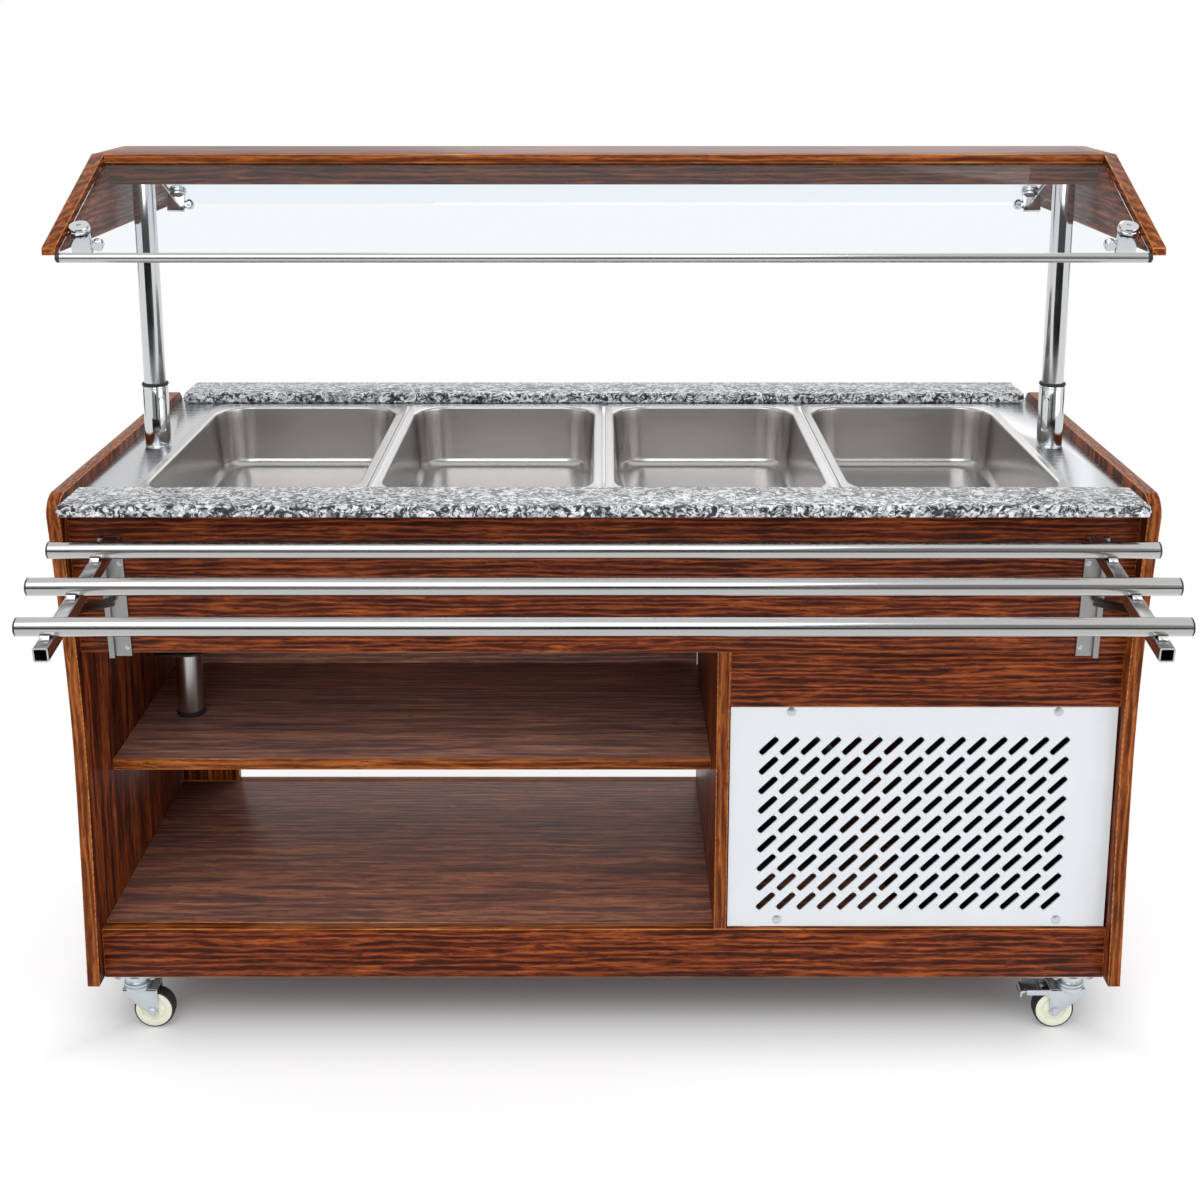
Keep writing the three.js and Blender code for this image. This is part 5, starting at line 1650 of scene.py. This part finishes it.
@dataclass
class TraySlide:
    """Three tubes on two folding arms, with their wall plates and struts."""

    arm_x: float = 671.0
    arm: float = 19.0
    arm_wall: float = 2.0
    heel: float = 6.0
    pivot: Flat = (-311.92, 775.5)
    slope: float = 8.4
    tube: float = 11.5
    tubes: Sequence[tuple[str, float]] = (("rear", 736.0), ("middle", 730.0), ("front", 710.0))
    first: float = 55.9
    pitch: float = 101.2
    reach_y: float = -599.0
    plate_screws: Sequence[float] = (780.0, 745.0, 718.0, 655.0, 618.0)

    def build(self) -> None:
        """Make the tubes, arms, plates and struts."""
        for name, half in self.tubes:
            self.build_tube(name, half)
        for side, sign in (("left", -1), ("right", 1)):
            self.build_arm(side, sign)
            self.build_plate(side, sign)
            self.build_strut(side)

    def on_arm(self) -> Matrix:
        """Return the arm's matrix: Y out along it from the pivot, Z up from its middle line."""
        place = Matrix.Translation((0, self.pivot[0], self.pivot[1]))
        flip = Matrix.Rotation(math.pi, 4, "Z")
        return place @ flip @ Matrix.Rotation(math.radians(-self.slope), 4, "X")

    def build_tube(self, name: str, half: float) -> None:
        """Make a tube with a domed black cap in each end.

        Args:
            name: Its name.
            half: Half its length.
        """
        lo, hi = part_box(f"tray_tube_{name}")
        centre = (0, (lo.y + hi.y) / 2 * MM_PER_M - POSTS_Y, (lo.z + hi.z) / 2 * MM_PER_M)
        r = self.tube
        body = half - 3.4
        shape = Shape().lathe([(0, -body), (r - 0.4, -body), (r, 0.4 - body), (r, body - 0.4),
                               (r - 0.4, body), (0, body)], centre, Axis.X, sides=48)
        cap = [(0, half), (r * 0.6, half - 0.25), (r * 0.86, half - 0.9), (r - 0.1, half - 2.0),
               (r - 0.1, body - 0.1), (0, body - 0.1)]
        for turn in (cap, [(rr, -h) for rr, h in reversed(cap)]):
            shape.lathe(turn, centre, Axis.X, sides=48, finish=1)
        shape.piece(f"tray_tube_{name}.bar", "tray_slide", [FINISH.satin_tube, FINISH.plastic],
                    [f"tray_tube_{name}"])

    def build_arm(self, side: str, sign: int) -> None:
        """Make the square arm, open at its front end, with a saddle under each tube.

        Args:
            side: Its side.
            sign: -1 at the left, 1 at the right.
        """
        matrix = self.on_arm()
        x = -sign * self.arm_x
        half, wall = self.arm / 2, self.arm_wall
        slope = math.radians(self.slope)
        length = (self.pivot[0] - self.reach_y - half * math.sin(slope)) / math.cos(slope)
        start = -self.heel
        rings = []
        for at, h, r in ((start, half, 2.6), (length, half, 2.6), (length, half - wall, 1.2),
                         (start, half - wall, 1.2)):
            rings.append([(px, at, pz) for px, pz in rounded(x - h, x + h, -h, h, r, 4)])
        shape = Shape().loft(rings, closed=True, place=matrix)
        shape.box((x - half + wall, 8, -half + wall), (x + half - wall, 12, half - wall), 1, 0.2, 1,
                  matrix)
        for i in range(3):
            y = self.first + i * self.pitch
            low = half + 0.1
            for out in (-1, 1):
                outline = [(y + out * 7.5, low), (y + out * 15.0, low), (y + out * 15.0, low + 2.0),
                           (y + out * 10.2, low + 5.6)]
                shape.prism(outline, x - 6.0, x + 6.0, Axis.X, 0, 0.4, 1, matrix)
        shape.piece(f"tray_arm_{side}.square", "tray_slide", [FINISH.sheet_y, FINISH.plastic],
                    [f"tray_arm_{side}"])

    def build_plate(self, side: str, sign: int) -> None:
        """Make the wall plate with its screws.

        Args:
            side: Its side.
            sign: -1 at the left, 1 at the right.
        """
        node = f"wall_plate_{side}"
        Shape().node(node, bevel=0.7).piece(f"{node}.channel", "cabinet", [FINISH.sheet_z], [node])
        lo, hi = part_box(node)
        inner = (lo.x if sign > 0 else hi.x) * MM_PER_M
        lean = math.atan(0.104)
        places = []
        for z in self.plate_screws:
            face = -(280.0 + (z - 608.0) * 0.104) - 0.3 - 2.5
            places.append((inner + sign * 6.2, face + 0.2, z))
        screws = Fasteners(pan_head(4.2, 1.0), places, (math.pi / 2 - lean, 0, 0))
        settle(screws.build(f"wall_plate_screws_{side}", FINISH.zinc), "cabinet")

    def build_strut(self, side: str) -> None:
        """Make the flat strut under an arm.

        Args:
            side: Its side.
        """
        node = f"tray_strut_{side}"
        # Its dark brown colour is a painted reflection of the wood.
        Shape().node(node, bevel=0.5).piece(f"{node}.blade", f"strut_{side}", [FINISH.dark_steel],
                                            [node])


# --------------------------------------------------------------------------------------------------
# Casters
# --------------------------------------------------------------------------------------------------

@dataclass
class Caster:
    """A swivel caster: ball race, fork, cream nylon wheel with a black tyre, and its brake."""

    end: str
    side: str
    y: float
    x: float = 694.0
    trail: float = 23.0
    wheel: float = 30.0
    wheel_half: float = 10.0
    cheek: tuple[float, float] = (12.6, 15.1)
    crown: tuple[float, float] = (63.0, 67.0)
    top: float = 87.7

    @property
    def braked(self) -> bool:
        """Whether it is on the braked side."""
        return self.side == "right"

    @property
    def place(self) -> Matrix:
        """The matrix of its swivel axis, with the wheel trailing along +X."""
        sign = 1 if self.braked else -1
        turn = Matrix.Rotation(math.pi, 4, "Z") if self.braked else Matrix.Identity(4)
        return Matrix.Translation((sign * self.x, self.y, 0)) @ turn

    def build(self) -> None:
        """Make the fork, the wheel and the pedal."""
        self.build_fork()
        self.build_wheel()
        if self.braked:
            self.build_pedal()

    def build_fork(self) -> None:
        """Press the fork under its ball race."""
        name = f"{self.end}_{self.side}"
        z0, z1 = self.crown
        eye = arc(self.trail, self.wheel, 8.0, 215, 360, 10)
        toe = self.trail + 8.0
        outline = [(-21, z1), (-21, z0 - 2), (-17, z0 - 7), *eye]
        if self.braked:
            outline += [(toe, 50), (36, 56.5), (65, 56.5), (66, 57.5), (66, 64.5), (65, 65.5),
                        (toe + 2, 65.5)]
        outline += [(toe, z1)]
        shape = Shape()
        for y in ((-self.cheek[1], -self.cheek[0]), self.cheek):
            shape.prism(outline, y[0], y[1], Axis.Y, 0, 0.7, 2, self.place)
        shape.box((-21, -self.cheek[1], z0), (toe, self.cheek[1], z1), 0, 1.1, 3, self.place)
        shape.lathe([(0, z0), (20.4, z0), (21, z0 + 0.8), (21, 70.2), (19.6, 71.2), (19.6, 72.4),
                     (21, 73.4), (21, 75.2), (20, 76), (18.2, 76.4), (17, 78), (17, 83), (20.6, 85),
                     (20.6, self.top), (0, self.top)], (0, 0, 0), sides=48, place=self.place)
        for sign in (-1, 1):
            reach = sign * self.cheek[1]
            head = [(0, reach + sign * 3.4), (5.2, reach + sign * 3.4), (6.2, reach + sign * 2.4),
                    (6.2, reach - sign * 0.2), (0, reach - sign * 0.2)]
            shape.lathe(head, (self.trail, 0, self.wheel), Axis.Y, 6, place=self.place)
            washer = [(0, reach + sign * 1.0), (7.4, reach + sign * 1.0), (7.4, reach - sign * 0.2),
                      (0, reach - sign * 0.2)]
            shape.lathe(washer, (self.trail, 0, self.wheel), Axis.Y, 28, place=self.place)
        shape.lathe([(0, -self.cheek[1]), (3.9, -self.cheek[1]), (3.9, self.cheek[1]),
                     (0, self.cheek[1])], (self.trail, 0, self.wheel), Axis.Y, 16, place=self.place)
        shape.piece(f"caster_fork_{name}.pressing", f"caster_{name}", [FINISH.zinc],
                    [f"caster_fork_{name}"])

    def build_wheel(self) -> None:
        """Turn the wheel: recessed nylon disc, hub and crowned black tyre."""
        name = f"{self.end}_{self.side}"
        h = self.wheel_half
        half = [(26.8, h - 0.2), (26.2, h + 0.2), (18.6, h + 0.2), (17.8, h - 0.4), (17.2, h - 2.2),
                (16.4, h - 2.2), (15.8, h - 0.8), (14.6, h - 0.2), (10.4, h + 0.4), (9, h + 2),
                (4.4, h + 2)]
        disc = [(r, y) for r, y in half] + [(r, -y) for r, y in reversed(half)]
        shape = Shape().lathe(disc, (self.trail, 0, self.wheel), Axis.Y, 64, closed=True, finish=0,
                              place=self.place)
        tread = [(26.6, h - 0.3), (28.2, h - 0.2), (29.2, h - 1.2), (29.8, h - 3.2), (30.0, 0)]
        tyre = tread + [(r, -y) for r, y in reversed(tread[:-1])]
        shape.lathe(tyre, (self.trail, 0, self.wheel), Axis.Y, 64, closed=True, finish=1,
                    place=self.place)
        shape.piece(f"caster_wheel_{name}.wheel", f"wheel_{name}", [FINISH.nylon, FINISH.rubber],
                    [f"caster_wheel_{name}"])

    def build_pedal(self) -> None:
        """Press the brake pedal with its turned-down toe and grip ribs."""
        name = f"{self.end}_{self.side}"
        outline = [(42, 59.5), (68, 59.3), (71.2, 58.2), (72.2, 56.2), (72.2, 52), (75, 52),
                   (75, 59.5), (73.5, 62), (70.5, 62.5), (42, 62.5)]
        shape = Shape().prism(outline, -12.2, 12.2, Axis.Y, 0, 0.5, 2, self.place)
        for x in (56, 61, 66):
            shape.box((x, -9.5, 62.2), (x + 2, 9.5, 63.6), 0, 0.6, 2, self.place)
        shape.lathe([(0, -12.2), (2.9, -12.2), (2.9, 12.2), (0, 12.2)], (44, 0, 61), Axis.Y, 24,
                    place=self.place)
        shape.piece(f"brake_pedal_{name}.plate", f"pedal_{name}", [FINISH.zinc],
                    [f"brake_pedal_{name}"])


# --------------------------------------------------------------------------------------------------
# Studio
# --------------------------------------------------------------------------------------------------

@dataclass
class Studio:
    """A white room with soft lamps, and the camera at the photograph's place."""

    lens: float = 48.42
    sensor: float = 36.0
    shift: Flat = (-0.0032, -0.2)
    eye: Point = (0.0, -2.294, 1.471)
    tilt: float = 78.19
    sky: float = 0.62
    key: float = 54.0
    fill: float = 16.0
    front: float = 29.0
    lift: float = 0.5
    flags: Sequence[tuple[str, float, float, float, float, float]] = (
        ("card_grey", 0.0, 4.6, 1.05, 4.4, 0.3), ("card_low", 0.0, 6.4, 0.02, 1.05, 0.02),
        ("card_front", 3.0, 0.8, 1.05, 4.6, 0.02), ("card_left", -112.0, 1.7, 0.6, 3.4, 0.02),
        ("card_right", 112.0, 1.7, 0.6, 3.4, 0.02))

    def build(self) -> None:
        """Make the world, the floor, the lamps and the camera."""
        self.build_world()
        self.build_floor()
        self.add_lamp("key", (-0.6, -2.6, 3.3), (0.0, 0.1, 0.7), 2.8, self.key)
        self.add_lamp("front", (0.0, -3.4, 0.7), (0.0, 0.1, 0.45), 2.0,
                      self.front).visible_glossy = False
        self.hang_flags()
        self.add_lamp("fill", (2.6, -1.8, 1.9), (0.2, 0.1, 0.6), 1.8, self.fill)
        self.add_lamp("back", (0.4, 2.6, 2.8), (0.0, 0.1, 0.8), 2.2, self.fill)
        camera = bpy.data.cameras.new("camera")
        camera.lens, camera.sensor_width = self.lens, self.sensor
        camera.shift_x, camera.shift_y = self.shift
        camera.dof.use_dof = False
        camera.clip_start, camera.clip_end = 0.05, 60.0
        obj = bpy.data.objects.new("camera", camera)
        obj.location = self.eye
        obj.rotation_euler = (math.radians(self.tilt), 0, 0)
        bpy.context.scene.collection.objects.link(obj)
        bpy.context.scene.camera = obj
        bpy.context.scene.view_settings.view_transform = "Standard"

    def build_world(self) -> None:
        """Light the room softly, and show it white to the eye, to metal and through glass."""
        world = bpy.data.worlds.new("studio")
        world.use_nodes = True
        bpy.context.scene.world = world
        tree = world.node_tree
        level = add_node(tree, "ShaderNodeMapRange", None, {
            "Value": self.seen(tree), "To Min": self.sky, "To Max": 1.0})
        background = tree.nodes["Background"]
        background.inputs["Color"].default_value = (1, 1, 1, 1)
        tree.links.new(level.outputs["Result"], background.inputs["Strength"])

    def build_floor(self) -> None:
        """Lay a white floor that shows the shadow and fades into the room's white."""
        mesh = bpy.data.meshes.new("floor")
        mesh.from_pydata([(-14, -14, 0), (14, -14, 0), (14, 14, 0), (-14, 14, 0)], [],
                         [(0, 1, 2, 3)])
        floor = bpy.data.objects.new("floor", mesh)
        bpy.context.scene.collection.objects.link(floor)
        material = bpy.data.materials.new("white_floor")
        material.use_nodes = True
        tree = material.node_tree
        shader = tree.nodes["Principled BSDF"]
        shader.inputs["Roughness"].default_value = 0.9
        shader.inputs["Specular IOR Level"].default_value = 0.0
        where = add_node(tree, "ShaderNodeTexCoord")
        shifted = add_node(tree, "ShaderNodeVectorMath", {"operation": "SUBTRACT"}, {
            0: where.outputs["Object"], 1: (0.0, 0.08, 0.0)})
        away = add_node(tree, "ShaderNodeVectorMath", {"operation": "ABSOLUTE"},
                        {0: shifted.outputs["Vector"]})
        axes = add_node(tree, "ShaderNodeSeparateXYZ", None, {"Vector": away.outputs["Vector"]})
        aside = self.fade(tree, axes.outputs["X"], 0.62, 0.86, self.lift)
        ahead = self.fade(tree, axes.outputs["Y"], 0.12, 0.34, self.lift)
        near = add_node(tree, "ShaderNodeMath", {"operation": "MAXIMUM"}, {0: aside, 1: ahead})
        far_x = self.fade(tree, axes.outputs["X"], 1.2, 3.0, 1.0)
        far_y = self.fade(tree, axes.outputs["Y"], 0.42, 0.95, 1.0)
        far = add_node(tree, "ShaderNodeMath", {"operation": "MAXIMUM"}, {0: far_x, 1: far_y})
        rest = add_node(tree, "ShaderNodeMath", {"operation": "SUBTRACT"},
                        {0: 1.0, 1: near.outputs["Value"]})
        lift = add_node(tree, "ShaderNodeMath", {"operation": "MULTIPLY_ADD"}, {
            0: rest.outputs["Value"], 1: far.outputs["Value"], 2: near.outputs["Value"]})
        seen = self.seen(tree)
        shown = add_node(tree, "ShaderNodeMath", {"operation": "MULTIPLY"},
                         {0: seen, 1: lift.outputs["Value"]})
        paled = add_node(tree, "ShaderNodeMath", {"operation": "MULTIPLY"},
                         {0: seen, 1: far.outputs["Value"]})
        colour = add_node(tree, "ShaderNodeMix", {"data_type": "RGBA"}, {
            0: paled.outputs["Value"], 6: (0.68, 0.68, 0.685, 1), 7: (0.0, 0.0, 0.0, 1)})
        tree.links.new(colour.outputs[2], shader.inputs["Base Color"])
        shader.inputs["Emission Color"].default_value = (1, 1, 1, 1)
        tree.links.new(shown.outputs["Value"], shader.inputs["Emission Strength"])
        mesh.materials.append(material)

    @staticmethod
    def seen(tree: bpy.types.NodeTree) -> bpy.types.NodeSocket:
        """Return 1 for what the eye, a reflection or a pane shows, and 0 for the object's light."""
        light = add_node(tree, "ShaderNodeLightPath")
        first = add_node(tree, "ShaderNodeMath", {"operation": "MAXIMUM"}, {
            0: light.outputs["Is Camera Ray"], 1: light.outputs["Is Glossy Ray"]})
        both = add_node(tree, "ShaderNodeMath", {"operation": "MAXIMUM"}, {
            0: first.outputs["Value"], 1: light.outputs["Is Transmission Ray"]})
        return both.outputs["Value"]

    @staticmethod
    def fade(tree: bpy.types.NodeTree, value: bpy.types.NodeSocket, start: float, end: float,
             top: float) -> bpy.types.NodeSocket:
        """Rise smoothly from 0.

        Args:
            tree: The material's tree.
            value: The distance.
            start: Where it starts to rise, in metres.
            end: Where it is full.
            top: How high it rises.

        Returns:
            The level.
        """
        made = add_node(tree, "ShaderNodeMapRange", {"interpolation_type": "SMOOTHSTEP"}, {
            "Value": value, "From Min": start, "From Max": end, "To Min": 0.0, "To Max": top})
        return made.outputs["Result"]

    def hang_flags(self) -> None:
        """Stand grey and black cards round the object, so that polished tubes show dark bands."""
        for i, (name, degrees, width, low, high, level) in enumerate(self.flags):
            angle = math.radians(degrees)
            away = 4.2 - 0.02 * i
            spot = (away * math.sin(angle), 0.1 - away * math.cos(angle), 0)
            card = Matrix.Translation(spot) @ Matrix.Rotation(-angle, 4, "Z")
            mesh = bpy.data.meshes.new(name)
            half = width / 2
            corners = ((-half, 0, low), (half, 0, low), (half, 0, high), (-half, 0, high))
            mesh.from_pydata([card @ Vector(c) for c in corners], [], [(0, 1, 2, 3)])
            flag = bpy.data.objects.new(name, mesh)
            bpy.context.scene.collection.objects.link(flag)
            material = bpy.data.materials.new(name)
            material.use_nodes = True
            shader = material.node_tree.nodes["Principled BSDF"]
            shader.inputs["Base Color"].default_value = (0.0, 0.0, 0.0, 1)
            shader.inputs["Roughness"].default_value = 1.0
            shader.inputs["Specular IOR Level"].default_value = 0.0
            shader.inputs["Emission Color"].default_value = (1.0, 0.99, 0.98, 1)
            shader.inputs["Emission Strength"].default_value = level
            mesh.materials.append(material)
            flag.visible_camera = False
            flag.visible_diffuse = False
            flag.visible_shadow = False
            flag.visible_transmission = False

    @staticmethod
    def add_lamp(name: str, place: Point, target: Point, size: float,
                 power: float) -> bpy.types.Object:
        """Hang a square soft lamp.

        Args:
            name: Its name.
            place: Where it hangs.
            target: What it points at.
            size: Its side, in metres.
            power: Its power, in watts.

        Returns:
            The lamp.
        """
        lamp = bpy.data.lights.new(name, "AREA")
        lamp.size, lamp.energy = size, power
        obj = bpy.data.objects.new(name, lamp)
        obj.location = place
        obj.rotation_euler = (Vector(target) - Vector(place)).to_track_quat("-Z", "Y").to_euler()
        bpy.context.scene.collection.objects.link(obj)
        return obj


def main() -> None:
    """Build the salad bar, then the studio round it."""
    logging.basicConfig(level=logging.INFO, format="%(message)s")
    Studio().build()
    Cabinet().build()
    Grille().build()
    CoolingUnit().build()
    Worktop().build()
    Posts().build()
    Canopy().build()
    TraySlide().build()
    for end, y in CASTER_ROWS:
        for side in ("left", "right"):
            Caster(end, side, y).build()


if __name__ == "__main__":
    main()
